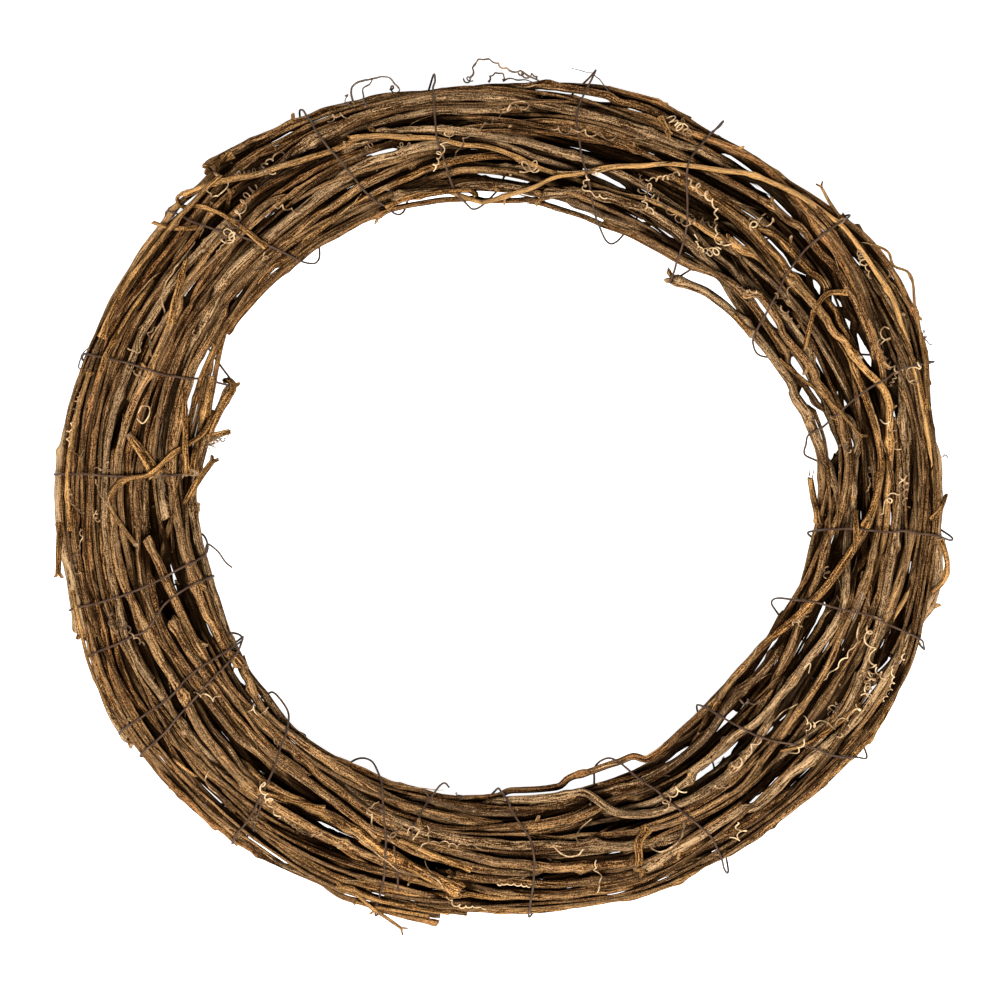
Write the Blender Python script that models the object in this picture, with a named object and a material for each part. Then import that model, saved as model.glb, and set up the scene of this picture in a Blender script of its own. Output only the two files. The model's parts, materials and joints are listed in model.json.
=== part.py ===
"""A wreath of dried vine canes, about 355 mm across, lying face up.

Long canes run round the ring beside and over each other, and one spiral of annealed wire binds
them. Every cane is a tube of its own; its pruned stubs, side shoots and curled tendrils are fused
to it. Lengths here are in millimetres and angles in degrees, anticlockwise from +X seen from
above. The ring is laid out round its own middle and at the end moved so that the middle of its box
is at x = y = 0; z = 0 is the surface that it lies on.
"""

import math

import bpy
import numpy as np
from mathutils import Matrix, Vector

MM = 0.001

# Driving sizes of the ring
SECTION_HEIGHT = 38.0
CANE_FLOOR = 2.0
LEVEL_DROP = 4.3
INNER_EDGE = [(0, 124), (30, 121), (60, 117.5), (90, 120.5), (120, 126), (150, 128), (170, 122),
              (210, 120), (240, 120.5), (270, 117), (315, 115.5), (340, 121)]
OUTER_EDGE = [(0, 176), (30, 180), (60, 169), (90, 168), (135, 177), (165, 176), (210, 177),
              (240, 171), (270, 165), (300, 168), (330, 175.5), (350, 178)]

# How finely the solids follow their lines
STATION_STEP = 10.0
SHORTEST_STEP = 3.5
FACE_STOUT = 1.08
CLEARANCE = 0.34

# Binding wire
WIRE_DIAMETER = 1.1

SEED = 7

BARK = {
    "bark_grey": ((0.235, 0.180, 0.120), 0.85),
    "bark_brown": ((0.215, 0.135, 0.070), 0.80),
    "bark_red": ((0.200, 0.095, 0.040), 0.70),
    "bark_tan": ((0.330, 0.205, 0.100), 0.75),
    "binding_wire": ((0.060, 0.045, 0.040), 0.50),
}

# The canes of the face: finish, butt and tip thickness, how far the cane carries on out of sight
# before and after the listed stretch, and its route clockwise as (angle, radius, level). Level 0
# lies on the face, -1 crosses over it, and each whole level is one cane deeper.
FACE_CANES = [
    ("bark_grey", 4.6, 3.4, 40, 60, [(124, 158.5, 2), (118, 161, 0), (110, 162, 0), (100, 162.5, 0), (92, 161.5, 0),
     (86, 160.5, 0), (80, 157.5, 0), (70, 157, 0), (65, 157.5, 0), (60, 159, 0), (55, 162, 0), (50, 164, 1), (42, 166, 2)]),
    ("bark_grey", 5.0, 3.2, 0, 0, [(182, 136, 2), (175, 137, 1), (165, 138, 1), (155, 138, 1), (150, 139.5, 0),
     (145, 141.5, 0), (140, 142.5, 0), (130, 141, 0), (120, 141.5, 0), (110, 143.5, 0), (100, 143, 0), (92, 141, 1),
     (78, 138, 3), (60, 133, 3), (42, 128, 1), (33, 130.5, 0), (24, 134, 0), (15, 138.5, 0), (10, 140.5, 0), (3, 139, 0),
     (-5, 137.5, 0), (-10, 138, 0), (-16, 141, 0), (-23, 136, 0), (-32, 132, 0), (-42, 130, 0), (-48, 129, 0),
     (-60, 131, 0), (-64, 131, 0), (-72, 127, 1)]),
    ("bark_tan", 3.0, 2.4, 30, 60, [(94, 118, 1), (90, 120, 0), (86, 123, 0), (82, 127.5, -1), (78, 132, -1),
     (74, 136.5, -1), (70, 141, -1), (66, 145.5, -1), (62, 150.5, -1), (58, 156, -1), (54, 161, -1), (50, 165.5, -1),
     (46, 169.5, 0), (40, 172.5, 0), (32, 174, 0), (24, 173.5, 0), (15, 171.5, 0), (5, 171.5, 0), (-4, 171, 0),
     (-8, 168, 0), (-12, 166.5, 0), (-16, 164, 0), (-20, 161.5, 1), (-25, 159, 2)]),
    ("bark_brown", 3.2, 2.6, 20, 40, [(180, 176, 0), (170, 176.5, 0), (160, 176, 0), (150, 175, 0), (140, 174.5, 0),
     (133, 174, 1), (125, 171.5, 2), (115, 168, 3)]),
    ("bark_brown", 4.2, 2.6, 0, 50, [(131, 177.5, 0), (128, 176.5, 0), (125, 175, 0), (120, 172.5, 0), (115, 171, 0),
     (110, 168.5, 0), (105, 166.5, 0), (100, 165, 0), (90, 165, 0), (82, 166.5, 0), (70, 167, 0), (62, 167, 0),
     (55, 168, 0), (48, 168, 1)]),
    ("bark_red", 2.8, 2.2, 0, 60, [(165.5, 176, 0), (160, 172.5, 0), (155, 170.5, 0), (150, 168.5, 0), (140, 167, 0),
     (120, 167, 0), (110, 164.5, 1), (105, 163, 2)]),
    ("bark_red", 3.0, 2.4, 40, 40, [(226, 169, 1), (215, 171.5, 0), (205, 169.5, 0), (195, 169, 0), (185, 167, 0),
     (178, 166, 0), (168, 166, 0), (163, 165.5, 0), (155, 163.5, 0), (148, 162.5, 0), (140, 162, 0), (130, 162.5, 0),
     (122, 163, 1)]),
    ("bark_red", 2.6, 3.0, 0, 30, [(261, 170.5, 0), (253, 171, 0), (242, 171.5, 0), (235, 173, 0), (230, 174.5, 0),
     (220, 175, 0), (210, 175.5, 0), (195, 174.5, 0), (188, 173, 0), (180, 172, 0), (170, 171, 0), (160, 169.5, 0),
     (153, 167.5, 1), (135, 164.5, 1), (125, 164.5, 0), (115, 163.5, 1), (95, 161, 3), (74, 160, 2), (65, 161, 0),
     (62, 163, 0), (57, 166.5, 0), (52, 167.5, 0), (45, 167, 0), (40, 166, 0), (35, 164.5, 0), (30, 162.5, 0),
     (25, 161, 0), (20, 159, 0), (15, 156.5, 0), (10, 154, 1), (2, 152, 2)]),
    ("bark_tan", 2.8, 2.4, 30, 50, [(228, 157.5, 1), (220, 161, 0), (214, 164, 0), (208, 166.5, 0), (203, 165, 0),
     (198, 163, 0), (190, 161, 0), (182, 160, 0), (175, 160, 0), (165, 159, 0), (155, 160, 0), (148, 161, 0),
     (143, 162, 1), (135, 162, 2)]),
    ("bark_grey", 3.0, 3.4, 0, 20, [(230, 151.5, 2), (222, 153.5, 0), (216, 154.5, 0), (210, 156, 0), (205, 158, 0),
     (200, 159, 0), (190, 158.5, 0), (182, 158.5, 0), (177, 157, 0), (173, 155, 0), (168, 154.5, 0), (160, 156, 0),
     (150, 157, 0), (144, 156, 0), (138, 155, 0), (130, 155, 1), (120, 156.5, 1), (112, 157.5, 0), (104, 157, 0),
     (95, 157.5, 0), (88, 156, 1), (70, 158, 3), (50, 163, 3), (42, 166, 2), (37, 167, 0), (32, 169.5, 0), (27, 171.5, 0),
     (23, 171, 0), (19, 167, 0), (15, 164, 0), (10, 161, 0), (5, 157.5, 0), (0, 156, 0), (-6, 154.5, 0), (-12, 156, 0),
     (-22, 157.5, 0), (-28, 159, 0), (-33, 158.5, 0), (-38, 157, 1), (-45, 155, 2)]),
    ("bark_brown", 4.2, 3.0, 20, 40, [(256, 152, 1), (251, 151, 0), (243, 150.5, 0), (235, 151, 0), (228, 151.5, 0),
     (222, 151.5, 0), (215, 150.5, 0), (208, 149.5, 0), (202, 149.5, 0), (198, 151, 0), (193, 153, 0), (188, 154, 0),
     (182, 154, 1), (176, 154, 1), (172, 153.5, 0), (165, 151, 0), (160, 149.5, 0), (152, 149, 0), (147, 150, 0),
     (142, 151.5, 0), (137, 153.5, 0), (130, 156, 1), (122, 157.5, 2)]),
    ("bark_red", 2.8, 2.0, 40, 50, [(178, 149, 1), (170, 148.5, 0), (165, 147, 0), (160, 145.5, 0), (150, 145.5, 0),
     (145, 147, 0), (140, 149, 0), (135, 150.5, 0), (128, 152, 0), (120, 151.5, 0), (114, 150, 0), (106, 148, 1),
     (98, 147.5, 1), (90, 146.5, 0), (80, 147, 0), (75, 148, 0), (70, 149, 0), (65, 150.5, 1), (60, 151, 2)]),
    ("bark_brown", 3.0, 3.2, 20, 30, [(235, 140.5, 2), (226, 141, 0), (220, 141.5, 0), (214, 143, 0), (208, 144.5, 0),
     (202, 145, 0), (197, 145, 1), (186, 145, 2), (176, 146, 1), (170, 145, 0), (160, 142.5, 0), (150, 143, 0),
     (147, 144.5, 0), (142, 147, 0), (137, 150, 0), (131, 151, 0), (127, 149.5, 0), (122, 147.5, 0), (115, 147, 0),
     (108, 147.5, 1), (100, 150.5, 1), (95, 152, 0), (85, 151.5, 0), (80, 152.5, 0), (75, 153.5, 0), (65, 153, 0),
     (58, 154.5, 0), (50, 157, 0), (45, 159.5, 0), (40, 160.5, 0), (30, 160, 0), (22, 158, 0), (17, 155.5, 1),
     (12, 153.5, 2)]),
    ("bark_brown", 4.0, 3.2, 0, 50, [(212.5, 122, 0), (208, 123, 0), (203, 124.5, 0), (198, 126, 0), (193, 127.5, 0),
     (188, 129, 0), (183, 131, 0), (178, 132.5, 0), (170, 134, 0), (160, 134.5, 0), (150, 135, 0), (144, 135.5, 0),
     (138, 134.5, 0), (130, 134.5, 0), (120, 135.5, 0), (115, 136.5, 0), (110, 137.5, 0), (105, 139, 0), (98, 140.5, 1)]),
    ("bark_tan", 2.6, 3.4, 0, 30, [(165, 127, 2), (158, 132, 1), (150, 131, 0), (145, 130.5, 0), (135, 131, 0),
     (125, 132.5, 0), (115, 133, 0), (110, 134, 0), (105, 135.5, 0), (100, 137, 0), (93, 138, 1), (85, 138, 3),
     (75, 141, 3), (66, 146, 2), (57, 147, 0), (50, 147, 0), (40, 147, 0), (33, 148, 1), (24, 150, 1), (18, 151, 0),
     (12, 152, 0), (6, 152, 0), (2, 151, 0), (-2, 148, 0), (-5, 144, -1), (-8, 141, -1), (-12, 136, -1), (-16, 132, -1),
     (-20, 128, -1), (-24, 125, 0), (-28, 121.5, 0), (-32, 119, 0), (-40, 118, 0), (-46, 119, 1)]),
    ("bark_red", 2.6, 2.2, 30, 40, [(172, 122, 1), (165, 124, 0), (160, 125, 0), (152, 128.5, 0), (145, 129.5, 0),
     (138, 128, 0), (130, 127.5, 0), (120, 126.5, 0), (112, 125, 0), (105, 122.5, 0), (100, 121.5, 0), (90, 120.5, 0),
     (80, 118.5, 0), (70, 117.5, 0), (60, 118, 0), (55, 119, 0), (48, 121, 1)]),
    ("bark_grey", 3.8, 3.0, 0, 60, [(122.5, 135, -1), (119, 133.5, 0), (115, 130.5, 0), (111, 128, 0), (107, 126.5, 0),
     (103, 125, 0), (98, 123.5, 0), (90, 123.5, 0), (82, 122.5, 0), (75, 121, 0), (68, 121, 1)]),
    ("bark_brown", 3.0, 2.6, 50, 60, [(125, 130, 1), (118, 129.5, 0), (112, 129.5, 0), (105, 131, 0), (98, 132.5, 0),
     (93, 133.5, 0), (88, 133, 0), (80, 131, 1), (70, 130, 1)]),
    ("bark_grey", 3.8, 3.0, 0, 50, [(108.5, 156.5, 0), (105, 153, 0), (102, 150, 0), (98, 147.5, 0), (95, 145.5, 0),
     (90, 143.5, 0), (85, 141.5, 0), (80, 140.5, 0), (75, 139.5, 0), (68, 138, 1), (60, 136, 2)]),
    ("bark_tan", 2.6, 2.2, 0, 40, [(112, 156.5, 0), (108, 153, -1), (105, 150, -1), (102, 147, -1), (98, 144.5, -1),
     (95, 143, -1), (92, 141, -1), (88, 139, -1), (85, 137, -1), (80, 133, 0), (75, 131.5, 0), (70, 130.5, 0),
     (65, 132, 0), (60, 133, 0), (52, 134.5, 1)]),
    ("bark_red", 2.4, 2.2, 30, 30, [(100, 165.5, 2), (92, 166, 1), (85, 168, 0), (80, 169.5, 0), (77, 170.5, 0),
     (74, 171.5, 0), (70, 171, 0), (67, 170, 0), (60, 169, 0), (54, 169.5, 0), (50, 170.5, 0), (45, 173, 0),
     (42, 175, 0), (38, 177.5, 0), (34, 179.5, 0), (25, 179, 0), (20, 178.5, 0), (16, 176.5, 0), (10, 174.5, 1),
     (2, 173, 1)]),
    ("bark_grey", 3.8, 3.0, 0, 60, [(82.5, 121, 0), (80, 123.5, 0), (75, 125.5, 0), (70, 127, 0), (65, 128, 0),
     (60, 128.5, 0), (55, 126.5, 0), (50, 124.5, 0), (45, 122, 0), (40, 121, 1), (35, 122, 1), (28, 124, 2)]),
    ("bark_grey", 4.0, 3.0, 0, 40, [(53, 112.5, 0), (50, 114.5, 0), (45, 117, 0), (40, 119.5, 0), (35, 121.5, 0),
     (30, 123, 0), (25, 124.5, 0), (20, 125.5, 0), (12, 127, 0), (7, 129, 0), (3, 132.5, 0), (-1, 135.5, 1),
     (-6, 137, 2)]),
    ("bark_brown", 3.0, 3.6, 20, 60, [(72, 118.5, 1), (65, 119.5, 0), (55, 119.5, 0), (50, 121, 0), (45, 123, 0),
     (38, 126, 0), (33, 127, 0), (28, 129, 0), (22, 131.5, 0), (17, 134.5, 0), (12, 137, 0), (7, 137.5, 0), (2, 136, 1),
     (-2, 134.5, 0), (-6, 132.5, 0), (-10, 129.5, 0), (-14, 127.5, 0), (-19, 127, 0), (-24, 128, 0), (-29, 129, 1)]),
    ("bark_tan", 3.4, 3.0, 0, 50, [(49, 136.5, 0), (45, 138, 0), (40, 141.5, 0), (35, 145, 0), (30, 147, -1),
     (25, 149, -1), (20, 152.5, -1), (17, 155, -1), (15, 158, -1), (12, 156.5, 0), (8, 154.5, 0), (4, 153.5, 0),
     (-4, 153, 1), (-12, 153, 2)]),
    ("bark_brown", 3.2, 2.8, 40, 40, [(8, 148, 1), (2, 149.5, 0), (-5, 149, 0), (-10, 148, 0), (-17, 146.5, 0),
     (-25, 146, 0), (-33, 145.5, 0), (-40, 145.5, 0), (-45, 147, 0), (-50, 148, 0), (-55, 147, 0), (-60, 145, 0),
     (-66, 143, 0), (-71, 140.5, 0), (-76, 138, 0), (-82, 136, 1), (-90, 134, 2)]),
    ("bark_brown", 4.2, 3.0, 30, 60, [(8, 169, 2), (1, 168, 0), (-1, 168, 0), (-5, 165, 0), (-9, 162.5, 0),
     (-13, 160, 0), (-17, 158, 1), (-25, 155, 2)]),
    ("bark_grey", 4.8, 3.8, 30, 0, [(6, 173, 1), (-2, 172.5, 0), (-7, 173, 0), (-10, 175.5, 0), (-14, 172, 0),
     (-18, 168.5, 0), (-24, 168, 0), (-30, 164.5, 0), (-35, 161, 0), (-40, 158.5, 0), (-45, 156, 0), (-52, 154, 0),
     (-60, 153.5, 0), (-65, 155, 0), (-69, 156.5, 0)]),
    ("bark_tan", 3.6, 2.6, 20, 30, [(-13, 174.5, 1), (-17, 175.5, 0), (-22, 176.5, 0), (-30, 175.5, 0), (-37, 173, 0),
     (-42, 171, 0), (-47, 169.5, 0), (-55, 168.5, 0), (-62, 166.5, 0), (-72, 167, 0), (-78, 165, 0), (-85, 165, 0),
     (-93, 164, 0), (-100, 163, 1), (-108, 162, 2)]),
    ("bark_brown", 2.8, 3.0, 20, 20, [(-24, 172, 2), (-32, 171.5, 1), (-38, 170.5, 0), (-43, 168, 0), (-50, 166.5, 0),
     (-55, 165, 0), (-60, 164, 0), (-65, 163.5, 0), (-70, 162.5, 0), (-75, 161.5, 0), (-80, 160, 0), (-85, 158.5, 0),
     (-90, 156, 0), (-94, 154, 0), (-102, 152, 2), (-112, 151.5, 2), (-122, 153, 1), (-130, 153, 0), (-135, 154, 0),
     (-141, 157, 0), (-147, 160, 0), (-151, 163.5, 0), (-158, 164, 1), (-166, 163, 2)]),
    ("bark_brown", 4.2, 3.6, 40, 0, [(-38, 166.5, 1), (-43, 164.5, 0), (-48, 162, 0), (-53, 159.5, 0), (-58, 157.5, 0),
     (-64, 158, 0), (-70, 158, 0), (-77, 155.5, 0), (-83, 154, 0), (-90, 151.5, 0), (-97, 150.5, 0)]),
    ("bark_red", 3.0, 2.6, 20, 30, [(6, 133, 1), (-3, 132.5, 0), (-10, 127.5, 0), (-15, 124, 0), (-20, 121.5, 0),
     (-25, 119, 0), (-30, 118, 0), (-35, 116.5, 0), (-40, 115, 0), (-45, 115, 0), (-50, 116, 0), (-57, 117.5, 0),
     (-62, 117, 0), (-66, 115.5, 0), (-71, 114.5, 0), (-75, 115, 0), (-80, 117, 0), (-85, 117, 0), (-92, 116.5, 0),
     (-98, 118.5, 0), (-105, 120.5, 0), (-113, 121, 0), (-120, 123, 0), (-130, 125, 1)]),
    ("bark_grey", 4.2, 3.4, 30, 40, [(-25, 126, 2), (-30, 124, 0), (-35, 122.5, 0), (-40, 121.5, 0), (-45, 123.5, 0),
     (-50, 124.5, 0), (-55, 125.5, 0), (-62, 125, 0), (-68, 124, 0), (-74, 124.5, 1), (-82, 123.5, 0), (-90, 124, 0),
     (-98, 124, 0), (-106, 124, 1)]),
    ("bark_grey", 3.8, 3.0, 30, 30, [(-30, 131, 2), (-34, 132.5, 0), (-38, 134, 0), (-42, 136.5, 0), (-46, 138.5, 0),
     (-50, 139.5, 0), (-56, 140.5, 0), (-61, 139, 0), (-65, 136.5, 0), (-69, 133, -1), (-71, 129, -1), (-73, 124.5, -1),
     (-75, 121, 0), (-78, 120, 0), (-85, 119, 0), (-92, 120, 1)]),
    ("bark_brown", 4.0, 3.6, 0, 0, [(-69, 153, 0), (-74, 150, 0), (-78, 147.5, 0), (-83, 146.5, 0), (-88, 144.5, 0),
     (-93, 141.5, 0), (-99, 140, 0), (-104, 138.5, 0), (-109, 136.5, 0), (-114, 135, 0), (-120, 133, 1), (-128, 130, 2),
     (-134, 129.5, 0), (-142, 131.5, 0), (-150, 133.5, 0), (-157, 135, 0), (-163, 136.5, 0), (-168, 139, 0),
     (-171, 141.5, 0), (-173.5, 143.5, 0)]),
    ("bark_grey", 4.6, 3.2, 20, 0, [(-60, 150, 2), (-67.5, 148, 0), (-72, 144.5, 0), (-76, 141.5, 0), (-81, 138.5, 0),
     (-88, 136.5, 0), (-95, 134.5, 0), (-103, 133.5, 0), (-110, 132.5, 0), (-118, 131.5, 1), (-130, 126, 2),
     (-140, 122, 2), (-150, 121, 1), (-155, 121, 0), (-162, 121.5, 0), (-168, 123.5, 0), (-173, 125.5, 0),
     (-179, 126.5, 0), (-184, 125, 0), (-190, 123, 0), (-195, 122, 0), (-199, 119.5, 0), (-203, 118, 0)]),
    ("bark_brown", 3.8, 3.4, 40, 0, [(-70, 126, 0), (-75, 128.5, 0), (-79, 131, 0), (-83, 131, 0), (-88, 129.5, 0),
     (-95, 128.5, 0), (-105, 129, 0), (-113, 129.5, 0), (-120, 128.5, 0), (-127, 127.5, 0), (-134, 127, 0),
     (-140, 126, 0), (-145, 123.5, 0), (-148.5, 121.5, 0)]),
    ("bark_tan", 5.6, 3.6, 0, 60, [(-96, 156, -1), (-99, 153.5, 0), (-102, 151.5, 0), (-106, 149, 0), (-110, 146.5, 0),
     (-114, 145, 0), (-119, 144, 0), (-125, 145.5, 0), (-129, 148.5, 0), (-133, 150, 1), (-140, 151, 2)]),
    ("bark_brown", 3.4, 3.8, 30, 0, [(-86, 148, 1), (-92, 147, 0), (-98, 145, 0), (-104, 143, 0), (-108, 141, 0),
     (-113, 139, 0), (-119, 137, 0), (-125, 136.5, 0), (-132, 137, 0), (-140, 137, 0), (-147, 137, 0), (-153, 138.5, 0),
     (-158, 140.5, 0), (-162, 143, 0), (-166, 146.5, 0), (-170, 150.5, 0), (-173, 153, 0)]),
    ("bark_tan", 2.8, 3.2, 40, 0, [(-85, 156, 2), (-95, 158, 1), (-102, 160.5, 0), (-110, 164, 0), (-115, 165.5, 0),
     (-119, 165, 0), (-123, 163, 0), (-127.5, 160.5, 0)]),
    ("bark_grey", 3.2, 2.6, 0, 50, [(-99, 168, 0), (-105, 168.5, 0), (-112, 168.5, 0), (-120, 169.5, 0), (-130, 170, 0),
     (-138, 169.5, 0), (-145, 170, 1), (-155, 170, 2)]),
    ("bark_grey", 4.8, 3.2, 0, 60, [(-147.5, 178.5, 0), (-151, 178.5, 0), (-155, 176, 0), (-160, 173, 0),
     (-165, 172, 1), (-175, 170, 2)]),
    ("bark_grey", 4.6, 3.2, 0, 50, [(-162, 174.5, 0), (-166, 174.5, 0), (-171, 173.5, 0), (-175, 175.5, 0),
     (-179, 176.5, 0), (-183, 175.5, 1), (-190, 174, 1), (-200, 172.5, 2)]),
    ("bark_tan", 3.0, 2.4, 0, 40, [(136.2, 177, 0), (133, 172, -1), (130, 165.5, -1), (126, 160, -1), (122, 157.5, -1),
     (117, 156, 0), (112, 155, 1), (100, 154, 2)]),
]

# The canes of the body and the back, by place in the section: across (-1 inner edge, 1 outer edge)
# and up (-1 underside, 0 middle), butt and tip thickness, the angle it starts at and its sweep.
BODY_CANES = [
    ("bark_brown", 5.4, 4.2, -0.90, -0.28, 150, 338),
    ("bark_grey", 5.2, 4.0, -0.68, -0.66, 20, 335),
    ("bark_tan", 5.2, 4.0, -0.40, -0.92, 262, 338),
    ("bark_brown", 5.6, 4.4, -0.10, -0.98, 205, 336),
    ("bark_red", 5.0, 3.8, 0.20, -0.98, 70, 334),
    ("bark_grey", 5.4, 4.2, 0.50, -0.86, 120, 338),
    ("bark_brown", 5.0, 4.0, 0.74, -0.62, 310, 335),
    ("bark_tan", 5.2, 3.8, 0.92, -0.24, 235, 338),
    ("bark_brown", 5.8, 4.6, -0.38, -0.48, 350, 338),
    ("bark_grey", 5.6, 4.4, 0.04, -0.52, 100, 336),
    ("bark_brown", 5.6, 4.4, 0.44, -0.38, 185, 338),
    ("bark_grey", 5.4, 4.2, -0.56, -0.06, 290, 338),
    ("bark_brown", 5.4, 4.2, 0.10, -0.02, 45, 338),
    ("bark_red", 5.2, 4.0, 0.64, -0.04, 10, 336),
]

# Side shoots that leave a face cane and run on beside it: the cane's number, the angle where the
# shoot leaves it, its sweep, the side it takes (1 outward), how far it drifts across per degree,
# and how deep it runs.
SHOOTS = [
    (2, 118, 120, -1, -0.02, 1), (2, -18, 70, 1, 0.03, 1), (4, 172, 60, -1, -0.10, 1), (5, 108, 95, -1, -0.06, 1),
    (7, 205, 110, 1, 0.00, 1), (8, 225, 80, -1, -0.08, 1), (9, 196, 90, -1, -0.05, 1), (10, 172, 80, -1, 0.02, 1),
    (10, 40, 90, 1, -0.02, 1), (11, 236, 100, -1, 0.04, 1), (12, 158, 70, 1, 0.05, 1), (13, 212, 90, 1, -0.03, 1),
    (13, 78, 100, -1, -0.05, 1), (14, 190, 110, -1, 0.03, 1), (15, 52, 85, 1, 0.02, 1), (16, 150, 95, 1, 0.02, 1),
    (19, 95, 90, -1, -0.06, 1), (22, 74, 95, 1, 0.03, 1), (24, 40, 85, -1, 0.00, 1), (26, -8, 75, 1, 0.06, 1),
    (28, -20, 60, -1, -0.06, 1), (29, -40, 100, -1, -0.03, 1), (32, -32, 100, 1, 0.05, 1), (35, -86, 100, 1, 0.04, 1),
    (36, -72, 95, 1, 0.03, 1), (40, -104, 85, 1, 0.02, 1),
]

# The wire's turns round the bundle: where each crosses the outer edge, the middle and the inner
# edge of the face, and how far out and in it stands there
WIRE_TURNS = [
    (176.8, 176.3, 175.2, 178.5, 122), (160.5, 159.8, 157.3, 178.5, 122), (139.5, 136.0, 129.5, 177, 121),
    (117.2, 115.8, 108.5, 173.5, 122.5), (99.0, 100.2, 94.0, 167.5, 117.5), (77.5, 78.6, 68.5, 176.5, 111.5),
    (59.5, 60.6, 52.5, 170, 116), (39.2, 39.2, 30.5, 177.5, 118.5), (17.7, 16.5, 9.0, 181.5, 123),
    (-5.2, -4.7, -6.5, 177, 123.5), (-19.7, -17.4, -21.0, 179.5, 115.5), (-35.5, -40.8, -46.5, 175.5, 114),
    (-59.2, -59.2, -70.0, 169, 111.5), (-86.7, -85.0, -90.0, 167.5, 118), (-107.2, -108.3, -118.5, 174.5, 117.5),
    (-128.2, -129.6, -138.0, 176, 120), (-144.5, -146.7, -152.5, 177.5, 117.5), (-149.5, -150.2, -155.5, 172, 119),
    (-159.2, -160.5, -164.5, 170, 124), (-165.7, -166.0, -171.0, 178.5, 120.5),
]
WIRE_TAIL = [(-171.3, 118.6, 22.5), (-170.0, 116.0, 24.0), (-167.0, 113.4, 25.0)]

# Growths on the face: butt and tip thickness, sides, how far the tip lifts, and the route from the
# root as (angle, radius). The root is sunk in the topmost cane there.
SPRIGS = [
    (4.2, 2.4, 5, 0, [(174.3, 138.5), (172.5, 143.5), (170.2, 150.4)]),
    (2.4, 2.0, 4, 0, [(163, 120.5), (167, 122.5), (172, 132.5), (176, 141), (177.4, 152), (179.5, 156), (184, 151.5), (187, 147)]),
    (1.6, 1.3, 3, 0, [(170, 121.5), (165, 119), (157, 117), (156, 120)]),
    (2.2, 1.8, 4, 0, [(177, 122.5), (172.3, 117)]),
    (2.6, 2.2, 4, 0, [(168, 120.5), (166, 113)]),
    (2.8, 2.2, 4, 0, [(152, 149.5), (143, 157)]),
    (2.6, 2.0, 4, 1, [(134, 159), (131.5, 163.5)]),
    (2.6, 2.2, 4, 1, [(67.5, 164.5), (65.5, 159.5)]),
    (1.8, 1.3, 3, 1, [(12, 172.5), (20, 178.8), (25, 182), (29.5, 186.5), (31, 183), (32.7, 184), (34.5, 181)]),
    (1.8, 1.4, 3, 0, [(39.5, 175), (44.8, 179.5)]),
    (2.2, 1.8, 4, 0, [(31, 160), (32.5, 152), (31.5, 145), (29, 139), (26.5, 134)]),
    (1.5, 1.3, 3, 0, [(27, 123.5), (20, 131), (15, 137), (10, 144.5)]),
    (2.8, 2.6, 4, 0, [(-4, 126.5), (0, 125), (4, 124)]),
    (2.4, 2.0, 4, 0, [(-5, 175), (-8.5, 179), (-10.5, 178.5), (-12, 175.5)]),
    (2.4, 2.0, 4, 0, [(-2, 140), (-8, 140.5)]),
    (2.0, 1.6, 4, 0, [(-30, 163), (-38, 155), (-42, 149)]),
    (2.0, 1.6, 4, 0, [(-100, 169.5), (-110, 171.5)]),
    (1.8, 1.4, 3, 0, [(-112, 166), (-108, 171), (-103.2, 177)]),
    (2.4, 2.0, 4, 0, [(-95, 147), (-107, 141)]),
    (2.4, 2.0, 4, 0, [(-120, 142), (-130, 150)]),
    (1.6, 1.3, 3, 0, [(-168, 175), (-160, 177), (-153, 178.5)]),
    (1.8, 1.5, 3, 0, [(-137, 164), (-142, 167)]),
    (2.6, 2.2, 4, 0, [(-177, 177), (-170.5, 180)]),
    (1.6, 1.3, 3, 1, [(138.3, 163), (140.5, 170), (141.8, 181)]),
    (1.6, 1.3, 3, 0, [(133.2, 140), (134, 157), (136, 166), (137.5, 178)]),
    (1.1, 0.9, 3, 1, [(104, 166), (105, 174), (107.5, 176), (109, 176.4), (110.5, 174.5), (109, 172.5)]),
    (1.1, 0.9, 3, 1, [(95, 165.5), (94, 171), (93.8, 174.4), (92.5, 176.4), (91, 174.8), (88, 171.2)]),
    (1.0, 0.9, 3, 1, [(76, 168), (78, 174.8), (81, 176.5)]),
    (1.1, 0.9, 3, 0, [(155, 154), (151, 153.6), (149, 158), (140, 160)]),
    (1.1, 0.9, 3, 0, [(128, 148), (126.5, 144), (125, 137)]),
    (1.1, 0.9, 3, 0, [(97, 141), (93, 148.8), (89, 156), (87.5, 158.4), (86, 157)]),
    (1.1, 0.9, 3, 0, [(60, 147), (57, 146), (54, 144), (52, 140), (51, 135), (48.7, 136.5)]),
    (1.2, 0.9, 3, 0, [(-19, 153), (-22, 158), (-24, 160), (-26, 163), (-27.5, 164), (-29.5, 163.5), (-33, 161), (-36, 151)]),
    (1.1, 0.9, 3, 0, [(-60.5, 146), (-62, 151), (-65, 153), (-67, 150.5)]),
    (1.1, 0.9, 3, 0, [(-77, 142), (-79.5, 144), (-82, 137)]),
    (1.1, 0.9, 3, 0, [(-104, 143), (-102.5, 138), (-103, 132.5)]),
    (1.1, 0.9, 3, 0, [(-158, 154), (-161, 158), (-163, 160.5)]),
]

# Where the wreath touches what it lies on: the angle, and the body cane that dips down there
FEET = [(95.0, 4), (227.5, 5), (340.0, 4)]

PLANE_STEP = 1.25
PLANES = round(360 / PLANE_STEP)


def edge(table, angle):
    """Radius of an edge of the band at an angle, from a table of (angle, radius)."""
    angles = [a for a, _ in table] + [table[0][0] + 360]
    radii = [r for _, r in table] + [table[0][1]]
    return np.interp(np.mod(angle, 360), angles, radii)


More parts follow.
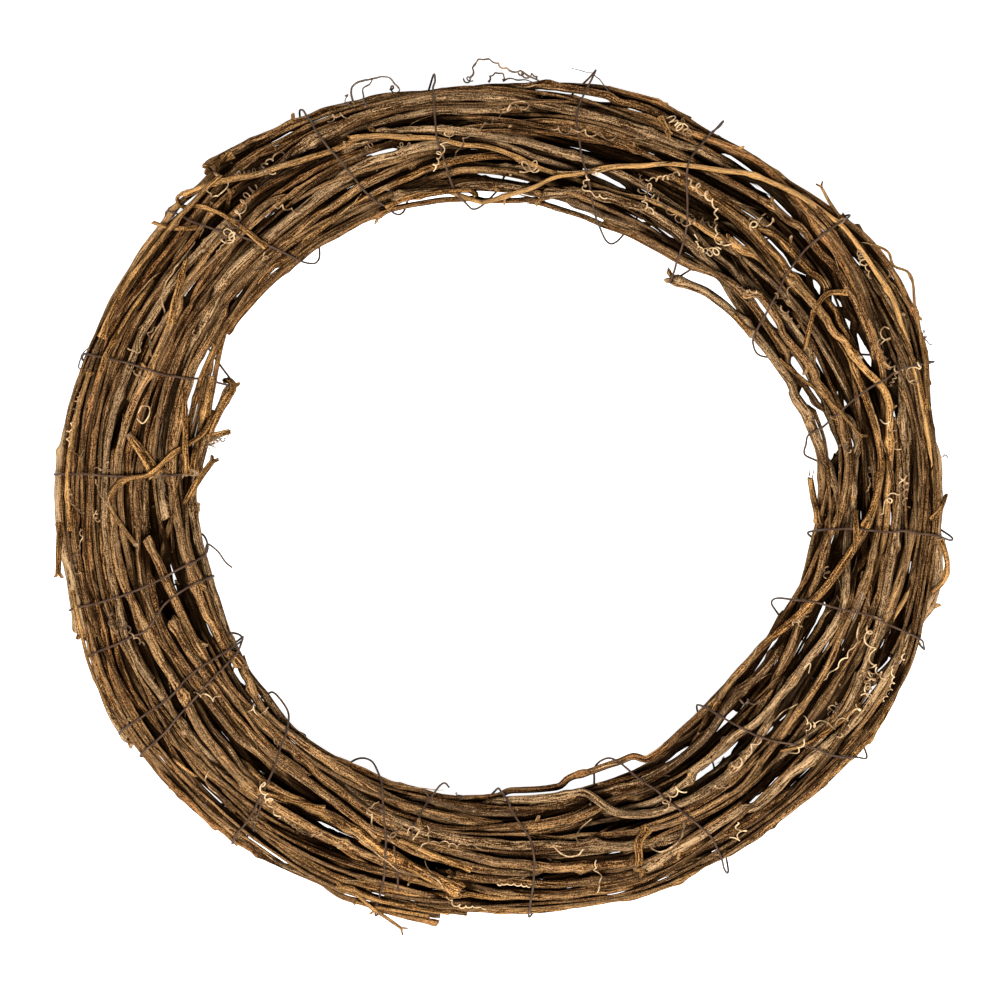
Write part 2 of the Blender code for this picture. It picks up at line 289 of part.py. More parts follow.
def crown(angle, radius):
    """Height of a cane's middle where it lies on the face of the bundle."""
    inner, outer = edge(INNER_EDGE, angle), edge(OUTER_EDGE, angle)
    across = (radius - (inner + outer) / 2) / ((outer - inner) / 2)
    half = SECTION_HEIGHT / 2 - 1.7
    return CANE_FLOOR + SECTION_HEIGHT / 2 + half * np.sqrt(np.clip(1 - across ** 2, 0.0, 1))


def face_line(rng, lead, tail, route):
    """Aimed-for radius and height at each plane of a face cane, with its hidden ends."""
    route = [(a, r, float(level)) for a, r, level in route]
    middle = 0.5 * (edge(INNER_EDGE, route[0][0]) + edge(OUTER_EDGE, route[0][0]))
    if lead:
        a, r, level = route[0]
        deep = middle + rng.uniform(-11, 11)
        route = [(a + lead, deep, level + 4.4), (a + lead * 0.5, 0.5 * (r + deep), level + 3.0)] + route
    if tail:
        a, r, level = route[-1]
        deep = middle + rng.uniform(-11, 11)
        route = route + [(a - tail * 0.5, 0.5 * (r + deep), level + 3.0), (a - tail, deep, level + 4.4)]
    first, last = round(-route[0][0] / PLANE_STEP), round(-route[-1][0] / PLANE_STEP)
    last = min(last, first + PLANES - 16)
    turns = np.arange(first, last + 1)
    angles = -turns * PLANE_STEP
    knots = [-a for a, _, _ in route]
    radius = np.interp(-angles, knots, [r for _, r, _ in route])
    level = np.interp(-angles, knots, [lv for _, _, lv in route])
    return turns, radius, crown(angles, radius) - LEVEL_DROP * level


def body_line(rng, across, up, start, sweep):
    """Aimed-for radius and height at each plane of a cane of the body or the back."""
    first = round(-start / PLANE_STEP)
    turns = np.arange(first, first + round(sweep / PLANE_STEP) + 1)
    angles = -turns * PLANE_STEP
    swing = 0.0
    for waves in (2, 3, 5):
        swing = swing + rng.uniform(4, 9) * np.sin(np.radians(angles * waves + rng.uniform(0, 360)))
    place = np.degrees(np.arctan2(up, across)) + swing
    reach = math.hypot(across, up)
    inner, outer = edge(INNER_EDGE, angles), edge(OUTER_EDGE, angles)
    radius = (inner + outer) / 2 + (outer - inner - 6) / 2 * reach * np.cos(np.radians(place))
    half = SECTION_HEIGHT / 2 - 2.6
    return turns, radius, CANE_FLOOR + SECTION_HEIGHT / 2 + half * reach * np.sin(np.radians(place))


def shoot_line(host, at, sweep, side, drift, level):
    """Aimed-for radius and height at each plane of a shoot, from where it leaves its cane."""
    first = round(-at / PLANE_STEP)
    while first < host.turns[0] + 3:
        first += PLANES
    while first > host.turns[-1] - 3:
        first -= PLANES
    turns = np.arange(first, first + round(sweep / PLANE_STEP) + 1)
    angles = -turns * PLANE_STEP
    known = np.clip(turns, host.turns[0], host.turns[-1]) - host.turns[0]
    run = (turns - first) * PLANE_STEP
    radius = host.line[0][known] + side * 4.6 * np.clip(run / 10, 0, 1) + drift * run
    inner, outer = edge(INNER_EDGE, angles) + 3, edge(OUTER_EDGE, angles) - 3
    radius = np.clip(radius, inner, outer)
    deep = level * np.clip(run / 15, 0, 1) + np.clip((run - sweep + 20) / 20, 0, 1)
    height = crown(angles, radius) - LEVEL_DROP * deep
    height[0] = host.line[1][known[0]]
    return turns, radius, height


def pick_stations(turns, radius, extra=()):
    """Planes at which a cane gets a ring: one every step, and one at each kink and end."""
    every = round(STATION_STEP / PLANE_STEP)
    marks = {int(turns[0]), int(turns[-1])} | {int(t) for t in extra}
    marks |= {int(t) for t in turns if t % every == 0 and min(abs(t - m) for m in marks) >= 3}
    for _ in range(12):
        order = sorted(marks)
        miss = np.abs(radius - np.interp(turns, order, radius[np.array(order) - turns[0]]))
        near = np.array([min(abs(t - m) for m in order) for t in turns])
        miss[near < SHORTEST_STEP / PLANE_STEP - 0.2] = 0
        if miss.max() < 1.25:
            break
        marks.add(int(turns[int(miss.argmax())]))
    return np.array(sorted(marks))


class Cane:
    """One cane: its rings, its thickness at each, and where each ring wants to be."""

    def __init__(self, name, slot, butt, tip, line, sides, pull, extra=()):
        self.turns, self.line = line[0], line[1:]
        self.name, self.slot, self.sides, self.pull = name, slot, sides, pull
        self.stations = pick_stations(self.turns, line[1], extra)
        at = self.stations - self.turns[0]
        self.radius, self.height = line[1][at], line[2][at]
        self.thick = 0.5 * np.interp(self.stations, [self.turns[0], self.turns[-1]], [butt, tip])
        self.feet = []
        self.host = None

    def foot_height(self, j):
        """Height of the middle of ring j when its flat underside stands on the ground."""
        return self.thick[j] * math.cos(math.pi / self.sides)


def settle(canes):
    """Push the canes apart until each lies beside or over the next with a hair of air between."""
    count = len(canes)
    starts = np.cumsum([0] + [len(c.stations) for c in canes])
    want = np.array([np.concatenate([c.radius for c in canes]),
                     np.concatenate([c.height for c in canes])])
    thick = np.concatenate([c.thick for c in canes])
    pull = np.concatenate([np.full(len(c.stations), c.pull) for c in canes])
    owner, turn, before, left, right, whole = [], [], [], [], [], []
    for i, cane in enumerate(canes):
        for j in range(len(cane.stations) - 1):
            a, b = int(cane.stations[j]), int(cane.stations[j + 1])
            for t in range(a, b + 1 if j == len(cane.stations) - 2 else b):
                owner.append(i)
                turn.append(t)
                before.append(starts[i] + j)
                left.append(math.sin(math.radians((t - a) * PLANE_STEP)))
                right.append(math.sin(math.radians((b - t) * PLANE_STEP)))
                whole.append(math.sin(math.radians((b - a) * PLANE_STEP)))
    owner, turn, before = np.array(owner), np.array(turn), np.array(before)
    left, right, whole = np.array(left), np.array(right), np.array(whole)
    after, plane = before + 1, turn % PLANES

    # each plane holds its canes side by side in columns
    column = np.zeros(len(owner), dtype=int)
    filled = np.zeros(PLANES, dtype=int)
    where = {}
    for n, (i, p) in enumerate(zip(owner, plane)):
        column[n] = filled[p]
        filled[p] += 1
        where[int(i), int(p)] = n
    width = filled.max()

    def table(values):
        full = np.zeros((PLANES, width))
        full[plane, column] = values
        return full

    def spread(state):
        """Radius and height of every cane in every plane, and how far along its piece it is."""
        near, far = state[0][before], state[0][after]
        share = near * left + far * right
        t = near * left / share
        return near * far * whole / share, state[1][before] * (1 - t) + state[1][after] * t, t

    def crossings():
        """Which cane of each pair passes over the other, near every place where they cross."""
        radius, height, _ = spread(want)
        across, up = np.full((count, PLANES), np.nan), np.full((count, PLANES), np.nan)
        across[owner, plane], up[owner, plane] = radius, height
        order = np.zeros((PLANES, width, width), dtype=np.int8)
        reach = round(9 / PLANE_STEP)
        for i in range(count):
            for j in range(i + 1, count):
                gap = across[i] - across[j]
                swap = gap * np.roll(gap, -1) <= 0
                for k in np.nonzero(swap)[0]:
                    span = [int(s) % PLANES for s in range(k - reach + 1, k + reach + 1)]
                    span = [s for s in span if not math.isnan(gap[s])]
                    rise = np.mean((up[i] - up[j])[span])
                    sign = 1 if rise + 0.01 * (i - j) > 0 else -1
                    for s in span:
                        a, b = column[where[i, s]], column[where[j, s]]
                        order[s, a, b], order[s, b, a] = sign, -sign
        return order

    order = crossings()
    size = table(0.5 * (thick[before] + thick[after]))
    need = size[:, :, None] + size[:, None, :] + CLEARANCE
    pairs = (size[:, :, None] > 0) & (size[:, None, :] > 0)
    pairs[:, np.arange(width), np.arange(width)] = False
    pinned = []
    for i, cane in enumerate(canes):
        if cane.host is None:
            continue
        free = round(11 / PLANE_STEP)
        for t in range(int(cane.turns[0]), int(cane.turns[0]) + free):
            if (cane.host, t % PLANES) in where:
                a, b = column[where[i, t % PLANES]], column[where[cane.host, t % PLANES]]
                pairs[t % PLANES, a, b] = pairs[t % PLANES, b, a] = False
        pinned.append((starts[i], where[cane.host, int(cane.turns[0]) % PLANES]))
    order[~pairs] = 0
    ground = CANE_FLOOR + thick
    feet = [(starts[i] + j, cane.foot_height(j)) for i, cane in enumerate(canes) for j in cane.feet]
    for j, height in feet:
        want[1][j] = ground[j] = height

    state = want.copy()
    rounds, closing, worst = 420, 300, 0.0
    for step in range(rounds + closing):
        across, up, t = spread(state)
        for root, n in pinned:
            state[0][root], state[1][root] = across[n], up[n]
        across, up = table(across), table(up)
        across = across[:, :, None] - across[:, None, :]
        up = up[:, :, None] - up[:, None, :]
        away = np.sqrt(across ** 2 + up ** 2) + 1e-9
        short = np.where(pairs & (away < need), need - away, 0.0)
        lift = 0.0
        if step < rounds:
            # a crossing pair is parted upward and downward, in the order it was given
            tall = np.sqrt(np.clip(need ** 2 - across ** 2, 0.0, None))
            lift = np.where(order != 0, np.clip(tall - up * order, 0.0, 6.0), 0.0)
            short = np.where(order != 0, 0.0, short)
        else:
            worst = short.max()
            if worst < 0.03:
                break
        push_up = 0.5 * np.sum(short * up / away + lift * order, axis=2)
        push_out = 0.5 * np.sum(short * across / away, axis=2)
        touching = np.sum((short + lift) > 0, axis=2)
        ease = 1.0 / np.sqrt(np.maximum(touching, 1))
        move = np.array([(push_out * ease)[plane, column], (push_up * ease)[plane, column]])
        busy = (touching[plane, column] > 0).astype(float)
        share = busy / (t ** 2 + (1 - t) ** 2)
        total, weight = np.zeros_like(state), np.full(state.shape[1], 1e-6)
        for index, w in ((before, 1 - t), (after, t)):
            for axis in (0, 1):
                np.add.at(total[axis], index, move[axis] * w * share)
            np.add.at(weight, index, w * busy)
        state = state + 0.8 * total / weight
        if step < rounds:
            drift = state - want
            for i in range(count):
                part = drift[:, starts[i]:starts[i + 1]]
                part[:, 1:-1] += 0.25 * (0.5 * (part[:, :-2] + part[:, 2:]) - part[:, 1:-1])
            state = want + drift * (1 - pull * (1.0 - 0.9 * step / rounds))
        state[1] = np.maximum(state[1], ground)
        for j, height in feet:
            state[1][j] = height
    print("settled: nearest pair is", round(worst, 3), "mm short after", step, "rounds")
    across, up, _ = spread(state)
    for root, n in pinned:
        state[0][root], state[1][root] = across[n], up[n]
    for i, cane in enumerate(canes):
        cane.radius = state[0][starts[i]:starts[i + 1]]
        cane.height = state[1][starts[i]:starts[i + 1]]


def raise_canes():
    """All the canes and their side shoots, settled."""
    rng = np.random.default_rng(SEED)
    canes = []
    for number, (slot, butt, tip, lead, tail, route) in enumerate(FACE_CANES, 1):
        line = face_line(rng, lead, tail, route)
        sides = 5 if butt + tip > 6.4 else 4
        canes.append(Cane(f"face_cane_{number:02d}", slot, FACE_STOUT * butt, FACE_STOUT * tip, line, sides, 0.06))
    for number, (slot, butt, tip, across, up, start, sweep) in enumerate(BODY_CANES, 1):
        line = body_line(rng, across, up, start, sweep)
        soles, extra = [], []
        for angle, foot_cane in FEET:
            turn = round(-angle / PLANE_STEP)
            turn += PLANES * math.ceil((line[0][0] - turn) / PLANES)
            if foot_cane == number:
                soles += [turn - 2, turn + 2]
                extra += [turn - 5, turn - 2, turn + 2, turn + 5]
        sides = 5 if extra else 4
        cane = Cane(f"body_cane_{number:02d}", slot, butt, tip, line, sides, 0.02, extra)
        cane.feet = [int(j) for j in np.nonzero(np.isin(cane.stations, soles))[0]]
        canes.append(cane)
    for number, at, sweep, side, drift, level in SHOOTS:
        host = canes[number - 1]
        line = shoot_line(host, at, sweep, side, drift, level)
        shoot = Cane("shoot", host.slot, 2.9, 2.3, line, 4, 0.04)
        shoot.host = number - 1
        canes.append(shoot)
    settle(canes)
    return canes


def cane_mesh(cane):
    """A cane as a closed tube, each ring standing in the plane of its station."""
    verts, faces = [], []
    n = cane.sides
    for turn, radius, height, thick in zip(cane.stations, cane.radius, cane.height, cane.thick):
        a = math.radians(-turn * PLANE_STEP)
        for k in range(n):
            roll = -math.pi / 2 + math.pi / n + 2 * math.pi * k / n
            r, z = radius + thick * math.cos(roll), height + thick * math.sin(roll)
            verts.append((r * math.cos(a) * MM, r * math.sin(a) * MM, z * MM))
    rings = len(cane.stations)
    for j in range(rings - 1):
        for k in range(n):
            a, b = j * n + k, j * n + (k + 1) % n
            faces.append((a, b, b + n, a + n))
    faces.append(tuple(reversed(range(n))))
    faces.append(tuple((rings - 1) * n + k for k in range(n)))
    return verts, faces


def points_of(cane, step=1):
    """Middle points and half thickness along a cane, one at every so many planes."""
    turns = np.arange(cane.stations[0], cane.stations[-1] + 1, step)
    if turns[-1] != cane.stations[-1]:
        turns = np.append(turns, cane.stations[-1])
    j = np.clip(np.searchsorted(cane.stations, turns, side="right") - 1, 0, len(cane.stations) - 2)
    a, b = cane.stations[j], cane.stations[j + 1]
    left = np.sin(np.radians((turns - a) * PLANE_STEP))
    right = np.sin(np.radians((b - turns) * PLANE_STEP))
    near, far = cane.radius[j], cane.radius[j + 1]
    t = near * left / (near * left + far * right)
    radius = near * far * np.sin(np.radians((b - a) * PLANE_STEP)) / (near * left + far * right)
    angle = np.radians(-turns * PLANE_STEP)
    height = cane.height[j] * (1 - t) + cane.height[j + 1] * t
    thick = cane.thick[j] * (1 - t) + cane.thick[j + 1] * t
    return np.stack([radius * np.cos(angle), radius * np.sin(angle), height], axis=1), thick


class Heap:
    """Everything laid so far, as short straight pieces, for laying the next thing over it."""

    def __init__(self):
        self.a, self.b, self.ra, self.rb, self.owner = [], [], [], [], []

    def add(self, points, thick, owner):
        for j in range(len(points) - 1):
            self.a.append(points[j])
            self.b.append(points[j + 1])
            self.ra.append(thick[j])
            self.rb.append(thick[j + 1])
            self.owner.append(owner)

    def freeze(self):
        self.A, self.B = np.array(self.a), np.array(self.b)
        self.RA, self.RB, self.O = np.array(self.ra), np.array(self.rb), np.array(self.owner)

    def under(self, x, y):
        """Distance in plan, height, thickness and owner of every piece near a point seen from above."""
        d = self.B[:, :2] - self.A[:, :2]
        t = ((x - self.A[:, 0]) * d[:, 0] + (y - self.A[:, 1]) * d[:, 1]) / (d ** 2).sum(axis=1).clip(1e-9)
        t = t.clip(0, 1)
        q = self.A + (self.B - self.A) * t[:, None]
        return np.hypot(x - q[:, 0], y - q[:, 1]), q, self.RA + (self.RB - self.RA) * t, self.O

    def top(self, x, y, thick, skip=None):
        """Height at which a thing of half this thickness clears everything below it."""
        away, q, size, owner = self.under(x, y)
        reach = size + thick + CLEARANCE
        hit = away < reach
        if skip is not None:
            hit &= owner != skip
        if not hit.any():
            return -math.inf
        return float((q[hit, 2] + np.sqrt(reach[hit] ** 2 - away[hit] ** 2)).max())

    def root(self, x, y):
        """The topmost cane under a point, and the middle of it there."""
        away, q, size, owner = self.under(x, y)
        near = (away < size + 0.6) & (owner >= 0)
        if not near.any():
            near = (away < away[owner >= 0].min() + 0.01) & (owner >= 0)
        best = np.nonzero(near)[0][q[near, 2].argmax()]
        return int(owner[best]), q[best], size[best]


def tube(points, thick, sides):
    """A closed tube along a line of points."""
    points = [Vector(p) for p in points]
    verts, faces = [], []
    before = (points[1] - points[0]).normalized()
    side = before.orthogonal().normalized()
    for j, point in enumerate(points):
        if j == 0:
            along = before
        elif j == len(points) - 1:
            along = (point - points[j - 1]).normalized()
        else:
            along = ((point - points[j - 1]).normalized() + (points[j + 1] - point).normalized()).normalized()
        side = (before.rotation_difference(along) @ side).normalized()
        side = (side - along * side.dot(along)).normalized()
        before = along
        other = along.cross(side)
        for k in range(sides):
            a = 2 * math.pi * k / sides
            verts.append((point + (side * math.cos(a) + other * math.sin(a)) * thick[j]) * MM)
    for j in range(len(points) - 1):
        for k in range(sides):
            a, b = j * sides + k, j * sides + (k + 1) % sides
            faces.append((a, b, b + sides, a + sides))
    faces.append(tuple(reversed(range(sides))))
    faces.append(tuple((len(points) - 1) * sides + k for k in range(sides)))
    return verts, faces


def thin_out(points, slack):
    """Drop the points of a line that lie within the slack of a straight run."""
    keep = {0, len(points) - 1}
    spans = [(0, len(points) - 1)]
    while spans:
        a, b = spans.pop()
        if b - a < 2:
            continue
        run = points[b] - points[a]
        t = ((points[a + 1:b] - points[a]) @ run / max(float(run @ run), 1e-9)).clip(0, 1)
        miss = np.linalg.norm(points[a + 1:b] - points[a] - t[:, None] * run, axis=1)
        worst = int(miss.argmax())
        if miss[worst] > slack:
            keep.add(a + 1 + worst)
            spans += [(a, a + 1 + worst), (a + 1 + worst, b)]
    return points[sorted(keep)]


def wind_wire(canes):
    """The wire's line: drawn tight over the canes, slack only where a loop stands off."""
    sections = [[] for _ in range(PLANES)]
    for cane in canes:
        points, thick = points_of(cane)
        for j, (point, size) in enumerate(zip(points, thick)):
            sections[(int(cane.stations[0]) + j) % PLANES].append((math.hypot(point[0], point[1]), point[2], size))
    sections = [np.array(s) for s in sections]
    rays = 120
    angles, tilts, floors = [], [], []
    for number, (outer, middle, inner, out_reach, in_reach) in enumerate(WIRE_TURNS):
        last = number == len(WIRE_TURNS) - 1
        after = WIRE_TURNS[number + 1][0] if not last else inner - 8
        for ray in range(rays if not last else rays // 2 + 1):
            tilt = 360 * ray / rays
            angle = float(np.interp(tilt, [0, 90, 180, 360], [outer, middle, inner, after]))
            centre = 0.5 * (edge(INNER_EDGE, angle) + edge(OUTER_EDGE, angle))
            way = np.array([math.cos(math.radians(tilt)), math.sin(math.radians(tilt))])
            least = 4.0
            at = -angle / PLANE_STEP
            for turn in (math.floor(at) - 1, math.floor(at), math.floor(at) + 1, math.floor(at) + 2):
                discs = sections[turn % PLANES]
                off = discs[:, :2] - (centre, CANE_FLOOR + SECTION_HEIGHT / 2)
                along = off @ way
                beside = np.abs(off[:, 0] * way[1] - off[:, 1] * way[0])
                reach = discs[:, 2] + WIRE_DIAMETER / 2 + CLEARANCE + 0.25
                hit = beside < reach
                if hit.any():
                    least = max(least, float((along[hit] + np.sqrt(reach[hit] ** 2 - beside[hit] ** 2)).max()))
            if tilt < 12 or tilt > 352:
                least = max(least, (out_reach - centre) / way[0])
            if abs(tilt - 180) < 8:
                least = max(least, (in_reach - centre) / way[0])
            angles.append(angle)
            tilts.append(tilt)
            floors.append(least)
    angles, tilts, floors = np.radians(angles), np.radians(tilts), np.array(floors)
    centre = 0.5 * (edge(INNER_EDGE, np.degrees(angles)) + edge(OUTER_EDGE, np.degrees(angles)))
    middle = np.stack([centre * np.cos(angles), centre * np.sin(angles),
                       np.full(len(angles), CANE_FLOOR + SECTION_HEIGHT / 2)], axis=1)
    way = np.stack([np.cos(tilts) * np.cos(angles), np.cos(tilts) * np.sin(angles), np.sin(tilts)], axis=1)
    length = floors.copy()
    for _ in range(900):
        points = middle + way * length[:, None]
        chord = 0.5 * (points[:-2] + points[2:])
        length[1:-1] = np.maximum(floors[1:-1], ((chord - middle[1:-1]) * way[1:-1]).sum(axis=1))
    line = middle + way * length[:, None]
    tail = [(math.radians(a), r, z) for a, r, z in WIRE_TAIL]
    tail = np.array([(r * math.cos(a), r * math.sin(a), z) for a, r, z in tail])
    return np.concatenate([thin_out(line, 0.25), tail])


def lay_sprig(heap, butt, tip, route, lift=0.0):
    """A side shoot, stub or tendril: out of the topmost cane at its root, then over the rest."""
    flat = [(r * math.cos(math.radians(a)), r * math.sin(math.radians(a))) for a, r in route]
    owner, root, size = heap.root(*flat[0])
    flat = np.array([root[:2]] + flat[1:])
    legs = np.hypot(*(flat[1:] - flat[:-1]).T)
    marks = np.concatenate([[0], np.cumsum(legs)])
    total = marks[-1]
    count = max(2, len(route) - 1, math.ceil(total / 5.5))
    stops = np.unique(np.concatenate([marks, np.linspace(0, total, count + 1)]).round(3))
    stops = [s for j, s in enumerate(stops) if j == 0 or s - stops[j - 1] > 0.9 or s in marks.round(3)]
    stops = np.array(sorted(set(stops)))
    heights = []
    for j, s in enumerate(stops):
        low = stops[max(j - 1, 0)]
        high = stops[min(j + 1, len(stops) - 1)]
        best = -math.inf
        for probe in np.linspace(0.5 * (low + s), 0.5 * (high + s), 5):
            x, y = np.interp(probe, marks, flat[:, 0]), np.interp(probe, marks, flat[:, 1])
            half = np.interp(probe, [0, total], [butt / 2, tip / 2])
            best = max(best, heap.top(x, y, half, owner if probe < 7 else None))
        heights.append(best)
    heights[0] = root[2]
    for j in range(1, len(stops)):
        near = root[2] + size * 0.6 if stops[j] < 7 else -math.inf
        if heights[j] == -math.inf:
            heights[j] = heights[j - 1]
        heights[j] = max(heights[j], near) + lift * stops[j] / total
    xs, ys = np.interp(stops, marks, flat[:, 0]), np.interp(stops, marks, flat[:, 1])
    line = thin_out(np.stack([xs, ys, heights], axis=1), 0.3)
    return owner, line, np.linspace(butt / 2, tip / 2, len(line))


def add_object(name, slot, verts, faces):
    """A named object with the bark or metal of its slot."""
    mesh = bpy.data.meshes.new(name)
    mesh.from_pydata(verts, [], faces)
    mesh.update()
    obj = bpy.data.objects.new(name, mesh)
    bpy.context.scene.collection.objects.link(obj)
    if slot not in bpy.data.materials:
        colour, roughness = BARK[slot]
        material = bpy.data.materials.new(slot)
        material.use_nodes = True
        shader = material.node_tree.nodes["Principled BSDF"]
        shader.inputs["Base Color"].default_value = (*colour, 1)
        shader.inputs["Roughness"].default_value = roughness
        shader.inputs["Metallic"].default_value = 1.0 if slot == "binding_wire" else 0.0
    mesh.materials.append(bpy.data.materials[slot])
    return obj


def closed(mesh):
    """Whether every edge of a mesh has a face on each side."""
    sides = {}
    for face in mesh.polygons:
        for edge_key in face.edge_keys:
            sides[edge_key] = sides.get(edge_key, 0) + 1
    return all(n == 2 for n in sides.values())


def grow_together(obj, pieces, slot):
    """Fuse a cane's side growths to it in one union."""
    group = bpy.data.collections.new(obj.name + "_growth")
    bpy.context.scene.collection.children.link(group)
    for number, (verts, faces) in enumerate(pieces):
        piece = add_object(f"{obj.name}_growth_{number}", slot, verts, faces)
        bpy.context.scene.collection.objects.unlink(piece)
        group.objects.link(piece)
    plain = obj.data.copy()
    for solver in ("EXACT", "MANIFOLD"):
        join = obj.modifiers.new("growth", "BOOLEAN")
        join.operation = "UNION"
        join.operand_type = "COLLECTION"
        join.collection = group
        join.solver = solver
        bpy.context.view_layer.objects.active = obj
        bpy.context.view_layer.update()
        bpy.ops.object.modifier_apply(modifier=join.name)
        if closed(obj.data):
            break
        if solver == "EXACT":
            obj.data = plain
    for piece in list(group.objects):
        bpy.data.objects.remove(piece, do_unlink=True)
    bpy.data.collections.remove(group)


def main():
    for obj in list(bpy.data.objects):
        bpy.data.objects.remove(obj, do_unlink=True)
    canes = raise_canes()
    growths = {}
    heap = Heap()
    for number, cane in enumerate(canes):
        node = number if cane.host is None else cane.host
        heap.add(*points_of(cane, 2), node)
        if cane.host is not None:
            growths.setdefault(node, []).append(cane_mesh(cane))
    wire = wind_wire(canes)
    half = np.full(len(wire), WIRE_DIAMETER / 2)
    heap.add(wire, half, -1)
    heap.freeze()
    for butt, tip, sides, lift, route in SPRIGS:
        owner, line, thick = lay_sprig(heap, butt, tip, route, lift)
        growths.setdefault(owner, []).append(tube([Vector(p) for p in line], thick, sides))
        heap.add(line, thick, owner)
        heap.freeze()
    for number, cane in enumerate(canes):
        if cane.host is None:
            obj = add_object(cane.name, cane.slot, *cane_mesh(cane))
            if number in growths:
                grow_together(obj, growths[number], cane.slot)
    add_object("binding_wire", "binding_wire", *tube([Vector(p) for p in wire], half * 1.1, 3))
    corners = np.array([v.co for obj in bpy.data.objects for v in obj.data.vertices])
    shift = Vector(0.5 * (corners.min(axis=0) + corners.max(axis=0)))
    shift.z = 0.0
    for obj in bpy.data.objects:
        obj.data.transform(Matrix.Translation(-shift))
    print("middle of the ring:", [round(-c / MM, 3) for c in shift[:2]])


main()
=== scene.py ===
import json
import math

import bpy
import numpy as np
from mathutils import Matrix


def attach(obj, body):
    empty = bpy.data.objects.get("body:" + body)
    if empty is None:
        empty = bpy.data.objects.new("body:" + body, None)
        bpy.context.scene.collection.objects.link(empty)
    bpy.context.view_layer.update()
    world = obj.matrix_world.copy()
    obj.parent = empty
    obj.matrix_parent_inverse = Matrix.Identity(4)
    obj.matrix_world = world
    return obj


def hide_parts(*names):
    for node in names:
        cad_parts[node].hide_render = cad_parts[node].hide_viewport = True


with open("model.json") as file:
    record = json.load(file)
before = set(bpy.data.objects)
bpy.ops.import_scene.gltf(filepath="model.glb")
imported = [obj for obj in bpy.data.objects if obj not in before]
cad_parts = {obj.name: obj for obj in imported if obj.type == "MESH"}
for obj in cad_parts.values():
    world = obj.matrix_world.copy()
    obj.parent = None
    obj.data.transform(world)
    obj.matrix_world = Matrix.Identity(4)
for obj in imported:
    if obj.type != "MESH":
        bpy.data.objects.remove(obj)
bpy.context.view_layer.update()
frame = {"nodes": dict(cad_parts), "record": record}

# The canes, as they lie.
# A wreath base is dried vine canes wound round by hand, green, into a ring, each held by its
# neighbours. The solids already lie as the canes do, so each cane's line is read back from its solid:
# a solid's corners stand in rings, each in a plane through the ring's axis.
MM = 0.001
RING_MIDDLE = (1.034, -1.942)  # mm, where the ring's axis stands
BAND_MIDDLE = 148.0  # mm from the axis to the middle of the band, and half of the band's width
BAND_HALF = 24.0
CORNERS = (5, 4)  # of one ring of a cane, and of a side shoot
SOLID_HALF = (0.9, 3.4)  # mm, the thinnest and thickest that a ring's half thickness can be
PLANES_APART = 0.02  # degrees, the least from one ring's plane to another's
FIT = 0.04  # mm, how well a ring's corners fit their places
RING_STEP = 9  # degrees from one ring of a solid to the next, at the ends of its canes
NEXT_RING = (0.5, 12.5)  # degrees, the least and the most between two rings that edges join
WIDEST_GAP = (24, 11)  # degrees, and how badly the rings on both sides of a gap may match
SUNK_ROOT = 0.4  # mm, how far a side shoot's root lies below its cane's line


def around(points):
    """How far round the ring each point is, in degrees, and how far from the axis."""
    return np.degrees(np.arctan2(points[:, 1], points[:, 0])), np.hypot(points[:, 0], points[:, 1])


def flat_spots(angle, radius):
    """Places seen from above, (n, 2), from degrees round the ring and distances from the axis."""
    turn = np.radians(angle)
    return np.stack([radius * np.cos(turn), radius * np.sin(turn)], axis=1)


def run_along(points):
    """How far along a line each of its points is."""
    return np.concatenate([[0], np.cumsum(np.linalg.norm(np.diff(points, axis=0), axis=1))])


def soft(share):
    """A share from 0 to 1 that starts and ends gently."""
    return share ** 2 * (3 - 2 * share)


def rings_of(node):
    """The rings of a solid cane, (angle, radius, height, half thickness, corners), and its edges."""
    mesh = frame["nodes"][node].data
    flat = np.empty(len(mesh.vertices) * 3)
    mesh.vertices.foreach_get("co", flat)
    spots, place = np.unique((flat.reshape(-1, 3) / MM).round(3), axis=0, return_inverse=True)
    ends = np.empty(len(mesh.edges) * 2, dtype=np.int64)
    mesh.edges.foreach_get("vertices", ends)
    edges = {tuple(sorted(pair)) for pair in place.ravel()[ends].reshape(-1, 2).tolist()}
    angle, radius = around(spots - (*RING_MIDDLE, 0.0))
    order = np.argsort(angle)
    rings = []
    for group in np.split(order, np.nonzero(np.diff(angle[order]) > PLANES_APART)[0] + 1):
        u, h = radius[group], spots[group, 2]
        # a ring stands on two of its corners, which are at one height
        level = [(i, j, sides) for i in range(len(group)) for j in range(len(group)) for sides in CORNERS
                 if u[j] - u[i] >= 0.8 and abs(h[i] - h[j]) <= 0.03]
        for i, j, sides in level:
            turn = math.pi / sides
            half = 0.5 * (u[j] - u[i]) / math.sin(turn)
            rolls = -math.pi / 2 + turn + 2 * turn * np.arange(sides)
            middle = 0.5 * (u[i] + u[j]), h[i] + half * math.cos(turn)
            miss = np.hypot(u[:, None] - middle[0] - half * np.cos(rolls),
                            h[:, None] - middle[1] - half * np.sin(rolls))
            if not SOLID_HALF[0] < half < SOLID_HALF[1] or miss.min(axis=0).max() > FIT:
                continue
            spot = float(np.median(angle[group]))
            corners = {int(c) for c in group[miss.argmin(axis=0)]}
            same = [r for r in rings if abs(r[0] - spot) < 0.05
                    and math.hypot(r[1] - middle[0], r[2] - middle[1]) < 0.3]
            if same:
                same[0][4].update(corners)
            else:
                rings.append((spot, *middle, half, corners))
    return rings, edges


def over(line, angle):
    """Radius and height of a line at an angle, or None where it doesn't reach."""
    low, high = line[-1][0], line[0][0]
    angle = low + (angle - low) % 360
    if angle > high:
        return None
    return [float(np.interp(-angle, -line[:, 0], line[:, axis])) for axis in (1, 2)]


